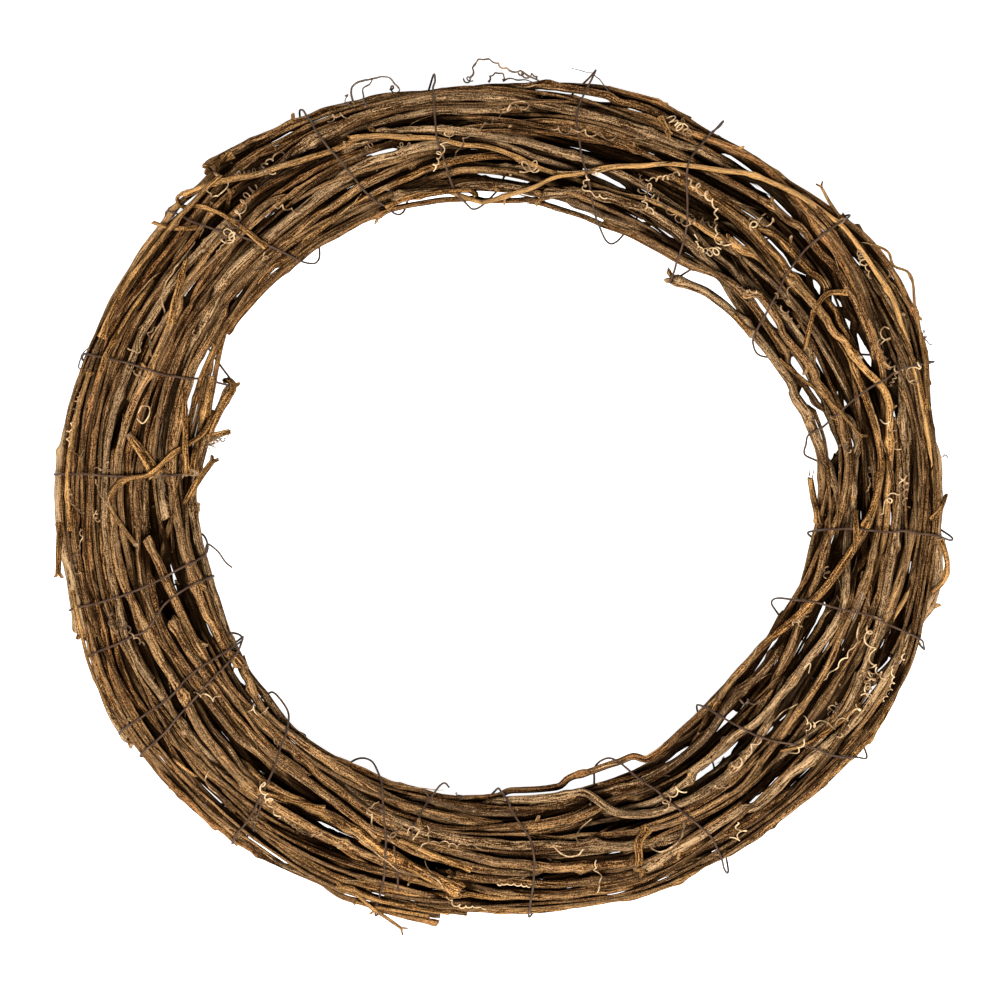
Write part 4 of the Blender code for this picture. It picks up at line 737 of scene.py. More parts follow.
def finish_material(start, colour, roughness, relief, strength, depth, gloss):
    """Puts the surface together, in relief to a depth in metres, and ends the material."""
    normal = start.add("ShaderNodeBump", {}, {"Height": relief, "Strength": strength, "Distance": depth})
    surface = start.add("ShaderNodeBsdfPrincipled", {},
                        {"Base Color": colour, "Roughness": roughness, "Normal": normal,
                         "Specular IOR Level": gloss})
    start.add("ShaderNodeOutputMaterial", {}, {"Surface": surface})


PAINTED_SHADE = (0.0050, 0.0018, 0.0006, 1)  # painted shade: near black where the heap lets little light in


def bark_material(name, pale, light, mid, dark, weathered):
    """Dry bark: strips and fibres along the cane, grey weathered stretches, dark furrows, painted shade."""
    material, start = new_material(name, mid)
    spot = start.add("ShaderNodeSeparateXYZ", {}, {0: start.add("ShaderNodeUVMap", {"uv_map": "cane"})})
    tone = start.held("tone")
    along = spot * 10.0 + tone * 91.0
    turn = spot.out("Y") * (2 * math.pi)
    c, s = start.maths("COSINE", turn), start.maths("SINE", turn)

    def lengthwise(run, round_it, detail=2.0, roughness=0.55):
        place = start.add("ShaderNodeCombineXYZ", {}, {0: along * run, 1: c * round_it, 2: s * round_it})
        return start.add("ShaderNodeTexNoise", {}, {"Vector": place, "Scale": 1.0, "Detail": detail,
                                                    "Roughness": roughness})

    strips = lengthwise(0.07, 2.3)
    fibres = lengthwise(0.20, 7.0, 3.0, 0.68)
    grains = lengthwise(1.7, 5.6, 3.0, 0.7)
    patches = lengthwise(0.045, 0.7)
    mottle = start.specks(1900.0, 2.0, 0.7)
    value = strips * 0.21 + fibres * 0.31 + grains * 0.26 + mottle * 0.22
    value = (value - 0.5) * 7.8 + 0.36 + (tone - 0.5) * 0.42
    colour = value.ramp((0.24, dark), (0.42, mid), (0.60, light), (0.80, pale))
    grey = value.ramp((0.28, tuple(0.30 * w for w in weathered)), (0.78, weathered))
    old = start.add("ShaderNodeClamp", {}, {0: (patches - 0.50) * 6.0})
    colour = colour.mix(old * 0.65, grey)
    colour = colour.mix(fibres.share(0.44, 0.33, 0.8), (*(0.35 * d for d in dark), 1))
    # painted shade: the less a spot sees past the heap, the nearer its bark is painted to black
    colour = colour.mix(start.held("open").share(0.97, 0.37, 1.0, "SMOOTHSTEP") * 0.95, PAINTED_SHADE)
    relief = fibres * 0.46 + strips * 0.24 + mottle * 0.30
    finish_material(start, colour, fibres * -0.25 + 0.98, relief, 1.0, 0.0018, 0.0)
    return material


BARKS = {name: bark_material(name, *colours) for name, colours in {
    "bark_grey": ((0.505, 0.324, 0.163), (0.294, 0.170, 0.078), (0.128, 0.062, 0.0235),
                  (0.022, 0.0085, 0.0027), (0.332, 0.203, 0.102)),
    "bark_brown": ((0.505, 0.286, 0.119), (0.285, 0.143, 0.053), (0.126, 0.054, 0.0185),
                   (0.022, 0.0085, 0.0027), (0.265, 0.156, 0.075)),
    "bark_red": ((0.455, 0.228, 0.082), (0.250, 0.109, 0.037), (0.110, 0.043, 0.0135),
                 (0.019, 0.007, 0.002), (0.222, 0.126, 0.057)),
    "bark_tan": ((0.670, 0.368, 0.130), (0.422, 0.203, 0.062), (0.205, 0.087, 0.0255),
                 (0.030, 0.012, 0.004), (0.328, 0.182, 0.078)),
}.items()}
# pale wood, where a cane is cut or broken: fine grain, with grime in its pores
CUT_WOOD, start = new_material("cut_wood", (0.5, 0.35, 0.2))
grain = start.specks(1800.0, 3.0)
colour = grain.ramp((0.30, (0.070, 0.038, 0.016)), (0.52, (0.21, 0.125, 0.060)), (0.75, (0.42, 0.29, 0.16)))
finish_material(start, colour, grain * 0.2 + 0.75, grain, 0.6, 0.0006, 0.25)

laid_lines = []  # every line laid so far, for the things that lie over it
spurs = []  # the joints where a spur or a bud may grow
grown = {node: [] for node in NODES}
heap = Heap()  # a fresh one, of the canes with their bark on
for node in NODES:
    rng = np.random.default_rng(number_of(node) + (0 if on_face(node) else 100))
    for number, (points, half) in enumerate(lines[node]):
        length = float(run_along(points)[-1])
        knots = knots_along(rng, length)
        points = bend_at_knots(rng, points, knots, SWAY[0 if on_face(node) else 1])
        if on_face(node):
            points = points + WAVER[0] * wander(rng, len(points), WAVER[1] / FACE_STEP, 3)
            knots = knots + [(1.6, rng.uniform(0, 6)), (length - 1.8, rng.uniform(0, 6))]
        points = open_slits(points, half, node)
        half = half * (SLIM + rng.uniform(*UNEVEN))
        tone = float(np.clip(rng.normal(0.5, 0.24), 0, 1))
        if on_face(node):
            tone = TONES.get(number_of(node), tone)
            spurs += [(points, half, at, tone) for at, _ in knots]
        heap.lay(points, half)
        lines[node][number] = (points, half)
        laid_lines.append((points, half))
        grown[node].append((tone, knots))
for node in NODES:
    rng = np.random.default_rng(number_of(node) + (200 if on_face(node) else 300))
    skin = Skin()
    for number, (points, half) in enumerate(lines[node]):
        tone, knots = grown[node][number]
        bark_tube(skin, rng, points, half, FACE_LANES if on_face(node) else BODY_LANES, tone, 1.0,
                  number == 0, knots)
    piece = skin.piece(node + "_bark", [BARKS[SLOTS[node]], CUT_WOOD])
    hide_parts(node)
    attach(piece, "root")

# The thin shoots between the canes.
# A vine's side shoots are wound in with it. They are as thin as string, they find the grooves between
# the thicker canes and lie in them, drawn straight from one rest to the next.
THIN_SHOOTS = 104
THIN = (1.2, 2.1)  # mm across
TAPER = (0.65, 0.85)  # its tip, as a share of its butt
TUCK = (3.2, 7.0)  # mm, how deep its ends are tucked in, and steps over which they come up again
SHOOT_STEP = 1.6  # mm
SHOOT_LANES = 8
ROUTE_STEP = 1.25  # degrees
ACROSS = np.arange(116.0, 182.0, 0.4)  # mm from the axis, where a shoot may lie
NOT_HERE = (80, 90)  # mm, the height that stands for an empty place, and for the bundle's very edge
CLIMB = 0.05  # what each mm of height costs a route, beside what each bend costs
BEND = 0.02


def evenly(route, step):
    """A smooth line through (angle, radius) points, seen from above, with a point every step."""
    flat = flat_spots(*np.array(route, dtype=float).T)
    marks = run_along(flat)
    count = max(3, int(round(marks[-1] / step)))
    if len(flat) == 2:
        share = np.linspace(0, 1, count + 1)[:, None]
        return flat[0] * (1 - share) + flat[1] * share
    return eased(flat, marks, np.linspace(0, marks[-1], count + 1))


def evened(values, times):
    """Numbers along a line, each drawn toward its neighbours so many times, the ends kept."""
    values = values.copy()
    for _ in range(times):
        values[1:-1] = 0.25 * values[:-2] + 0.5 * values[1:-1] + 0.25 * values[2:]
    return values


def groove_route(first, sweep, radius):
    """Where a thin shoot comes to lie: the lowest way along the heap that isn't bent hard."""
    angles = np.radians(first - np.arange(0, sweep, ROUTE_STEP))
    cost = np.empty((len(angles), len(ACROSS)))
    for n, a in enumerate(angles):
        height = heap.height(ACROSS * math.cos(a), ACROSS * math.sin(a))
        edge_in, edge_out = np.nonzero(height > 10)[0][[0, -1]]
        cost[n] = np.where(height < 8, NOT_HERE[0], height)
        cost[n, :edge_in + 4] = cost[n, edge_out - 3:] = NOT_HERE[1]
    cost = CLIMB * cost
    cost[0] += BEND * (ACROSS - radius) ** 2
    total, came = cost[0], []
    steps = np.arange(-1, 2)
    for n in range(1, len(angles)):
        options = np.stack([np.roll(total, s) + BEND * s ** 2 for s in steps])
        came.append(np.clip(np.arange(len(ACROSS)) - steps[options.argmin(axis=0)], 0, len(ACROSS) - 1))
        total = options.min(axis=0) + cost[n]
    route = [int(total.argmin())]
    for back in reversed(came):
        route.append(int(back[route[-1]]))
    return list(zip(np.degrees(angles)[::3], evened(ACROSS[route[::-1]], 6)[::3]))


# thicker shoots in the depth of the bundle: angle and radius in pixels at their ends
DEEP_SHOOTS = [
    (132, 432, 131, 431), (137, 405, 127, 403), (129, 319, 113, 316), (97, 340, 93, 339),
    (76, 419, 63, 419), (64, 375, 53, 375), (54, 382, 47, 383), (36, 417, 19, 415), (36, 447, 17, 441),
    (-28, 355, -33, 354), (-24, 303, -44, 297), (-39, 404, -50, 400), (-36, 374, -46, 372),
    (-70, 366, -77, 364), (-83, 391, -90, 391), (-110, 408, -119, 407), (-102, 377, -114, 373),
    (-97, 330, -104, 329), (-101, 314, -116, 314), (-93, 302, -97, 302), (-130, 359, -151, 361),
    (-136, 386, -154, 382), (-146, 403, -158, 402), (-152, 394, -169, 396), (-148, 354, -161, 358),
    (-153, 311, -165, 310), (-145, 435, -152, 435), (-163, 434, -175, 434), (-165, 316, -178, 316),
    (-169, 349, -177, 349), (-158, 335, -164, 335), (161, 430, 135, 427), (-176, 368, -180, 368),
    (-130, 433, -146, 434), (171, 361, 162, 359), (170, 340, 165, 340), (-100, 387, -110, 387),
    (-130, 339, -138, 338), (-159, 393, -167, 391), (72, 317, 66, 316), (181, 320, 169, 319),
    (183, 438, 179, 437), (179, 432, 172, 428), (171, 431, 164, 430), (148, 336, 145, 336),
    (127, 430, 118, 427), (136, 367, 132, 368), (126, 369, 122, 369), (119, 370, 114, 370),
    (74, 424, 66, 424), (64, 394, 58, 394), (85, 347, 80, 347), (92, 338, 87, 337), (48, 319, 42, 320),
    (38, 441, 31, 441), (27, 447, 21, 447), (19, 437, 14, 435), (6, 337, 2, 338), (-6, 434, -14, 433),
    (-10, 421, -12, 421), (-17, 419, -20, 418), (-30, 431, -37, 429), (-38, 421, -46, 418),
    (-34, 313, -40, 313), (-47, 295, -55, 296), (-73, 341, -82, 339), (-85, 340, -91, 340),
    (-85, 405, -91, 405), (-97, 414, -104, 414),
]
DEEP = 15.0  # mm above the table
DEEP_HALF = (1.7, 1.4)  # mm, half of their thickness at the ends
rng = np.random.default_rng(31)
skin = Skin()
for first, first_at, last, last_at in DEEP_SHOOTS:
    pixel = PIXEL * (1 - DEEP / CAMERA_HEIGHT)
    middle = (0.5 * (first + last), pixel * (0.5 * (first_at + last_at)))
    flat = evenly([(first + 2, pixel * first_at), middle, (last - 2, pixel * last_at)], SHOOT_STEP)
    points = np.column_stack([flat, DEEP + wander(rng, len(flat), 20)[:, 0]])
    points = bend_at_knots(rng, points, knots_along(rng, SHOOT_STEP * len(flat)), 0.4)
    half = np.linspace(*DEEP_HALF, len(flat))
    bark_tube(skin, rng, points, half, SHOOT_LANES, float(rng.uniform(0.2, 0.8)))
    heap.lay(points, half)
for number in range(THIN_SHOOTS):
    # each ends where it would run over a cane that crosses
    first = 360 * number / THIN_SHOOTS * 3.0 + rng.uniform(-8, 8)
    flat = evenly(groove_route(first, rng.uniform(28, 95), rng.uniform(122, 176)), SHOOT_STEP)
    apart = np.nonzero(crossed.height(flat[:, 0], flat[:, 1]) > 0)[0]
    flat = max(np.split(flat, apart), key=len)[1:]
    if len(flat) < 12:
        continue
    butt = 0.5 * rng.uniform(*THIN)
    half = np.linspace(butt, butt * rng.uniform(*TAPER), len(flat))
    points = heap.draw_over(flat, float(half.max()), 60)
    dip = TUCK[0] * np.exp(-np.arange(len(points)) / TUCK[1])
    points[:, 2] -= dip + dip[::-1]
    knots = knots_along(rng, SHOOT_STEP * len(points))
    points = bend_at_knots(rng, points, knots, 0.5)
    tone = float(np.clip(rng.normal(0.55, 0.25), 0, 1))
    bark_tube(skin, rng, points, half, SHOOT_LANES, tone, knots=knots)
    heap.lay(points, half)
    laid_lines.append((points, half))
piece = skin.piece("thin_shoots", [BARKS["bark_brown"], CUT_WOOD])
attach(piece, "root")

# The binding wire.
# One length of dark annealed iron wire is wound round the whole bundle in some twenty turns. It is
# drawn tight over the canes, but stands off in loops at the hole and in bends at the outer edge.
WIRE = 0.44  # mm, half of its thickness
# each turn over the face, (angle, radius), from the outer edge to the loop in the hole
WIRE_TURNS = [
    [(176.8, 178.8), (176.5, 160), (176.3, 138), (175.2, 125), (174.6, 120.6)],
    [(161.2, 178.4), (159.9, 160), (159.8, 140), (158, 127.2), (157, 121.5)],
    [(139.5, 177.2), (138, 166), (136.8, 156), (135, 144), (133.3, 136), (130.5, 124), (128.5, 120.8),
        (125, 124.8)],
    [(117.2, 174), (117, 162), (115.5, 146), (114.8, 138), (113.5, 130), (112, 125), (110, 122),
        (108, 123.6)],
    [(99, 168), (100.3, 148), (99.5, 128), (98, 121.2), (96, 117.4), (92.5, 119.6)],
    [(77.5, 176.8), (79, 170), (79.2, 160), (77.5, 140), (76, 132), (74, 126), (71, 115.2), (67.5, 111.4),
        (65, 116.4)],
    [(59.5, 170.4), (61.2, 158), (61.2, 152), (59, 140), (57, 132.8), (55, 126), (52.5, 116)],
    [(39.2, 178), (39.8, 160), (38.5, 140), (37, 132), (35, 123), (33, 118.4), (30.5, 117.6), (27, 122)],
    [(17.7, 182), (18.3, 168), (16.5, 148), (15, 138), (13, 130), (11, 123.6), (9, 122.4), (7, 126)],
    [(-5.2, 177.2), (-4.5, 162), (-4.8, 140), (-5.3, 126), (-6, 122.6), (-7, 124)],
    [(-19.7, 180), (-18.5, 172), (-17.3, 150), (-18, 130), (-19.5, 116.4), (-20.5, 115), (-23, 119.2)],
    [(-35.5, 176), (-38.5, 160), (-42, 144), (-43.2, 132), (-45.5, 115.6), (-46.5, 113.4), (-47.6, 115.2)],
    [(-59.2, 169), (-58.2, 158), (-60, 142), (-62, 126), (-63.5, 119.2), (-65.5, 113.8), (-68, 111.4),
        (-71, 112), (-72.5, 118)],
    [(-86.7, 168), (-85.2, 152), (-85, 144), (-85.5, 134), (-89, 121.2), (-91, 117.2)],
    [(-107.2, 174.8), (-107.5, 160), (-109, 140), (-110.2, 132), (-113.5, 120.4), (-117, 117.2),
        (-120.5, 120)],
    [(-128.2, 176), (-128.8, 156), (-130.5, 136), (-132, 128.8), (-133.5, 123), (-136, 120), (-140, 120)],
    [(-144.5, 177.6), (-145.5, 164), (-147, 144), (-149, 126), (-150, 120.8), (-152.5, 117.8)],
    [(-148.5, 171.6), (-149.3, 150), (-151, 132), (-151.8, 118.4), (-154, 119.6)],
    [(-159.2, 170.8), (-159.8, 148), (-163, 136.8), (-165, 126), (-165.5, 122)],
    [(-165.7, 178.8), (-165.8, 156), (-167, 136), (-169.7, 121.6), (-171.5, 120.2), (-174, 121)],
]
WIRE_RAYS = 200  # points to a turn
LAST_TURN = 215  # degrees round the bundle, where the wire ends
SECTIONS = 288  # planes through the axis, and the degrees from one to the next
SECTION = 1.25
BUNDLE_MIDDLE = 21.0  # mm above the table
LEAST_REACH = 4.0  # mm from there to the wire
EDGE_BEND = (12, 0.02)  # the slack at the outer edge: degrees to each side, and how fast it gives out
HOLE_LOOP = (42, 0.0055)  # and in the hole
PULLS = 700  # times that the wire is drawn a little tighter


def bundle_sections():
    """The canes cut through by planes through the axis: radius, height and half thickness in each."""
    sections = [[] for _ in range(SECTIONS)]
    for points, half in laid_lines:
        angle, radius = around(points)
        planes = np.round(angle / SECTION).astype(int) % SECTIONS
        for plane, *disc in zip(planes, radius, points[:, 2], half):
            sections[plane].append(disc)
    return [np.array(section) for section in sections]


def wound_wire(sections):
    """The wire's line: as tight as the canes let it be, and slack at its loops."""
    centre_at = np.array([0.5 * (s[:, 0].min() + s[:, 0].max()) for s in sections])
    for _ in range(30):
        centre_at = 0.25 * np.roll(centre_at, 1) + 0.5 * centre_at + 0.25 * np.roll(centre_at, -1)
    angles, tilts, floors, middles = [], [], [], []
    for n, front in enumerate(WIRE_TURNS):
        front = np.array(front)
        inmost = int(front[:, 1].argmin())
        half_width = 0.5 * (front[0, 1] - front[inmost, 1])
        centre = 0.5 * (front[0, 1] + front[inmost, 1])
        tilt = np.degrees(np.arccos(np.clip((front[:, 1] - centre) / half_width, -1, 1)))
        tilt[inmost + 1:] = 360 - tilt[inmost + 1:]
        full_turn, after = 360, front[-1, 0]
        if n < len(WIRE_TURNS) - 1:
            after = WIRE_TURNS[n + 1][0][0]
        else:
            full_turn = LAST_TURN
        rays = np.linspace(0, full_turn, WIRE_RAYS * full_turn // 360, endpoint=False)
        for ray, angle in zip(rays, np.interp(rays, [*tilt, 360], [*front[:, 0], after])):
            here = angle / SECTION
            middle = np.interp(here % SECTIONS, np.arange(SECTIONS + 1), [*centre_at, centre_at[0]])
            way = (math.cos(math.radians(ray)), math.sin(math.radians(ray)))
            least = LEAST_REACH
            for near in (-1, 0, 1):
                discs = sections[(int(round(here)) + near) % SECTIONS]
                x, y = discs[:, 0] - middle, discs[:, 1] - BUNDLE_MIDDLE
                along = x * way[0] + y * way[1]
                beside = np.abs(x * way[1] - y * way[0])
                reach = discs[:, 2] + WIRE + 0.15
                hit = beside < reach
                if hit.any():
                    far = along[hit] + np.sqrt(reach[hit] ** 2 - beside[hit] ** 2)
                    least = max(least, float(far.max()))
            for off, stands_off, (wide, drop) in ((min(ray, 360 - ray), front[0, 1] - middle, EDGE_BEND),
                                                  (abs(ray - 180), middle - front[inmost, 1], HOLE_LOOP)):
                if off < wide:
                    least = max(least, stands_off - drop * off ** 2)
            angles.append(angle)
            tilts.append(ray)
            floors.append(least)
            middles.append(middle)
    angles, tilts, floors = evened(np.radians(angles), 14), np.radians(tilts), np.array(floors)
    middles = evened(np.array(middles), 14)
    out = np.stack([np.cos(angles), np.sin(angles)], axis=1)
    middle = np.column_stack([middles[:, None] * out, np.full(len(angles), BUNDLE_MIDDLE)])
    way = np.column_stack([np.cos(tilts)[:, None] * out, np.sin(tilts)])
    length = floors.copy()
    for _ in range(PULLS):
        line = middle + way * length[:, None]
        chord = 0.5 * (line[:-2] + line[2:])
        length[1:-1] = np.maximum(floors[1:-1], ((chord - middle[1:-1]) * way[1:-1]).sum(axis=1))
    line = evened(middle + way * length[:, None], 8)
    line[:, 2] = np.maximum(line[:, 2], WIRE + 0.1)
    return line


def plain_tube(skin, points, half, lanes, tone):
    """A smooth round tube, closed at its ends."""
    _, side, other = along_line(points)
    roll = 2 * np.pi * np.arange(lanes) / lanes
    spots = wrapped(points, side, other, np.broadcast_to(half, len(points))[:, None], roll)
    skin.add_tube(spots, run_along(points), tone)
    k = np.arange(lanes)
    for end, sign in ((0, -1), (-1, 1)):
        fan = np.stack([k, (k + 1) % lanes, np.full(lanes, lanes)], axis=1)[:, ::sign]
        skin.add(np.concatenate([spots[end], [points[end]]]), fan, np.zeros((3 * lanes, 2)), tone)


# annealed iron wire: a dark brown scale, rubbed to bright metal here and there, a little rust
WIRE_METAL, start = new_material("annealed_wire", (0.07, 0.055, 0.05))
fine = start.specks(1900.0)
scale = start.specks(240.0) * 0.7 + fine * 0.3
colour = scale.ramp((0.35, (0.028, 0.014, 0.008)), (0.60, (0.062, 0.035, 0.020)),
                    (0.80, (0.140, 0.090, 0.056)))
colour = colour.mix(fine.share(0.58, 0.70, 0.6), (0.120, 0.050, 0.022, 1))
finish_material(start, colour, fine * 0.3 + 0.55, fine, 0.4, 0.0003, 0.16)

# loose ends and a second strand, laid along the turns beside them
WIRE_BITS = [
    [(-105, 162), (-105.8, 154), (-107.5, 144)],
    [(-105.5, 140), (-105, 132), (-103.7, 122.4), (-101.4, 115.6), (-100.6, 117)],
    [(-127, 166), (-128.5, 154), (-129.5, 148)],
    [(-168.5, 120.8), (-171.5, 119.4), (-170, 116.4), (-167, 113.6), (-166, 112)],
]
rng = np.random.default_rng(5)
line = wound_wire(bundle_sections())
sway = wander(rng, len(line), 9, 3) * 0.22
sway[:, 2] = np.abs(sway[:, 2])
skin = Skin()
plain_tube(skin, line + sway, WIRE, 7, 0.5)
heap.lay(line + sway, np.full(len(line), WIRE))
for route in WIRE_BITS:
    points = heap.draw_over(evenly(route, 0.9), WIRE, 60)
    points[0, 2] -= 1.5
    plain_tube(skin, points, 0.9 * WIRE, 8, 0.5)
    heap.lay(points, np.full(len(points), WIRE))
piece = skin.piece("annealed_binding_wire", [WIRE_METAL])
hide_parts("binding_wire")
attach(piece, "root")

# Pruned stubs, forks and side twigs.
# Where a side branch was cut, a stub stands or a twig runs on across its neighbours. Each grows out
# of the cane under its root, is swollen at its joints, and ends cut, forked or broken.
STUBS = [  # thickness at root and tip in mm, rise of the tip, and the route
    (3.6, 3.0, 0, [(175, 124.4), (168, 124.2), (162, 124.6), (157.5, 125.6)]),
    (2.2, 2.0, 0, [(172, 128.6), (165, 128.8), (157, 129.4), (152, 130)]),
    (5.4, 2.6, 0, [(176, 138), (173.4, 142.5), (170.2, 150.4)]),
    (2.4, 2.0, 0, [(163, 120.5), (167, 122.5), (172, 132.5), (176, 141), (177.4, 152), (179.5, 156),
        (184, 151.5), (187, 147)]),
    (2.8, 2.4, 0, [(168, 120.5), (163, 118.6), (160, 117.4), (157.2, 116.8), (156.4, 118.4),
        (156.7, 121.6)]),
    (3.0, 2.2, 0, [(175.5, 126.6), (170, 128), (165, 130.6), (161, 133.8)]),
    (2.8, 2.2, 0, [(180.5, 126.5), (176.5, 122), (172.2, 117)]),
    (2.6, 2.0, 0, [(168, 120.5), (166, 113)]),
    (2.8, 2.0, 0, [(152, 149.5), (143, 157)]),
    (2.6, 1.8, 1, [(134, 159), (131.5, 163.5)]),
    (2.6, 2.2, 1, [(67.5, 164.5), (65.5, 159.5)]),
    (1.7, 1.1, 1, [(12, 172.5), (20, 178.8), (25, 182), (29.5, 186.5), (31, 183), (32.7, 184),
        (34.5, 181)]),
    (1.7, 1.1, 0, [(39.5, 175), (44.8, 179.5)]),
    (2.2, 1.6, 0, [(31, 160), (32.5, 152), (31.5, 145), (29, 139), (26.5, 134)]),
    (1.5, 1.2, 0, [(27, 123.5), (20, 131), (15, 137), (10, 144.5)]),
    (2.8, 2.4, 0, [(-4, 126.5), (0, 125), (4, 124)]),
    (2.4, 1.8, 0, [(-5, 175), (-8.5, 179), (-10.5, 178.5), (-12, 175.5)]),
    (2.4, 1.8, 0, [(-2, 140), (-8, 140.5)]),
    (2.0, 1.5, 0, [(-30, 163), (-38, 155), (-42, 149)]),
    (2.0, 1.4, 0, [(-100, 169.5), (-110, 171.5)]),
    (1.8, 1.2, 0, [(-112, 166), (-108, 171), (-103.2, 177)]),
    (2.4, 1.8, 0, [(-95, 147), (-107, 141)]),
    (2.4, 1.8, 0, [(-120, 142), (-130, 150)]),
    (1.6, 1.1, 0, [(-168, 175), (-160, 177), (-153, 178.5)]),
    (1.8, 1.3, 0, [(-137, 164), (-142, 167)]),
    (2.6, 2.0, 0, [(-177, 177), (-170.5, 180)]),
    (1.8, 1.4, 1, [(138.3, 163), (140.5, 170), (141.6, 179)]),
    (2.4, 2.2, 0, [(111.5, 126), (107, 125.4), (103, 124.6), (99, 124), (95, 123.2)]),
    (3.6, 2.8, 0, [(-66.5, 143), (-68.6, 146), (-69, 150), (-69.6, 154)]),
    (2.0, 1.6, 0, [(-2.5, 171), (-1, 174.4), (0.6, 176.8)]),
    (2.2, 1.6, 0, [(133.2, 138), (133.8, 152), (134.6, 160), (136, 168), (137.6, 175), (137.2, 177),
        (136.2, 176.6)]),
    (2.6, 2.0, 0, [(158, 172.2), (150, 172.2), (143, 171.6), (136, 171.2), (131, 170)]),
    (2.6, 2.0, 0, [(162, 168), (158, 167), (153, 166), (148, 164.6)]),
    (2.8, 2.4, 0, [(128, 175.4), (130, 176.4), (131, 178)]),
    (2.4, 2.0, 0, [(184, 172.6), (176, 172.8), (168, 172.8), (163, 172)]),
    (2.2, 1.8, 0, [(-97.5, 167), (-103, 166.8), (-108, 167.4), (-113, 167)]),
    (1.8, 1.4, 0, [(129, 177), (130.6, 175), (131.4, 171)]),
    (2.6, 2.4, 0, [(33.5, 119.4), (36, 118.6), (38, 118.4)]),
]
# the face canes with a fork at one end: 0 the first end, -1 the last
FORKED = {5: 0, 6: 0, 19: 0, 20: 0, 22: 0, 23: 0, 25: 0, 28: -1, 31: -1, 36: -1, 42: 0, 43: 0}
STUB_STEP = 0.9  # mm
SPUR_SHARE = 0.7  # of the joints on the face have a spur or a bud


def laid_stub(rng, skin, butt, tip, lift, route):
    """One stub or twig, from inside the cane at its root, out over whatever lies beyond."""
    flat = evenly(route, STUB_STEP)
    count = len(flat)
    half = np.linspace(0.5 * butt, 0.5 * tip, count)
    points = heap.draw_over(flat, 0.5 * tip, 40)
    sunk = np.exp(-(np.arange(count) * STUB_STEP / 3.5) ** 2)
    points[:, 2] += lift * np.linspace(0, 1, count) - sunk * (0.5 * butt + 0.6)
    places = np.cumsum(rng.uniform(14, 30, 9))
    knots = [(0.0, 0.0)] + [(at, rng.uniform(0, 6)) for at in places if at < STUB_STEP * count - 3]
    points = bend_at_knots(rng, points, knots[1:], 0.5)
    tone = rng.uniform(0.45, 0.9)
    bark_tube(skin, rng, points, half, 10, tone, 1.1, False, knots)
    heap.lay(points, half)
    if rng.uniform() < 0.6 and count > 8:
        ahead, side, _ = along_line(points)
        for sign in (-1, 1):
            reach = rng.uniform(1.2, 2.6)
            way = ahead[-1] + sign * rng.uniform(0.35, 0.8) * side[-1]
            prong = points[-2] + np.outer(np.linspace(0, reach, 4), way)
            bark_tube(skin, rng, prong, np.linspace(0.42, 0.34, 4) * tip, 7, tone, 1.2, False)


rng = np.random.default_rng(77)
skin = Skin()
for butt, tip, lift, route in STUBS:
    laid_stub(rng, skin, butt, tip, lift, route)
for points, half, at, tone in spurs:
    # a short pruned spur, or a bud, at a joint, away from the bundle's middle
    j = int(np.searchsorted(run_along(points), at))
    if rng.uniform() > SPUR_SHARE or j < 3 or j > len(points) - 4:
        continue
    ahead, side, _ = along_line(points[j - 2:j + 3])
    outward = points[j] - (*(points[j, :2] / np.hypot(*points[j, :2]) * BAND_MIDDLE), BUNDLE_MIDDLE)
    outward /= np.linalg.norm(outward)
    lean = rng.uniform(0.3, 1.1) * rng.choice([-1, 1])
    way = outward * rng.uniform(0.3, 1.0) + ahead[2] * lean + side[2] * rng.uniform(-0.7, 0.7)
    way /= np.linalg.norm(way)
    reach = half[j] + rng.uniform(0.6, 3.8)
    spur = points[j] + np.outer(np.linspace(0.3, 1, 5) * reach, way)
    thick = float(np.clip(half[j] * rng.uniform(0.4, 0.62), 0.4, 1.1))
    bark_tube(skin, rng, spur, np.array([1.25, 1.05, 0.95, 1.0, 0.9]) * thick, 8, tone, 1.2, False)
for number, end in FORKED.items():
    points, half = lines[f"face_cane_{number:02d}"][0]
    way = points[end] - points[3 if end == 0 else -4]
    way /= np.linalg.norm(way)
    side = np.cross(way, (0.0, 0.0, 1.0))
    for sign in (-1, 1):
        lean = way + sign * rng.uniform(0.35, 0.9) * side + (0.0, 0.0, rng.uniform(-0.1, 0.5))
        prong = points[end] + np.outer(np.linspace(-1.0, rng.uniform(1.6, 3.6), 6), lean)
        thick = 0.55 * half[end] * np.array([1.3, 1.15, 1.0, 0.95, 1.1, 0.9])
        bark_tube(skin, rng, prong, thick, 9, rng.uniform(0.2, 0.6), 1.2, False)
piece = skin.piece("pruned_stubs", [BARKS["bark_tan"], CUT_WOOD])
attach(piece, "root")

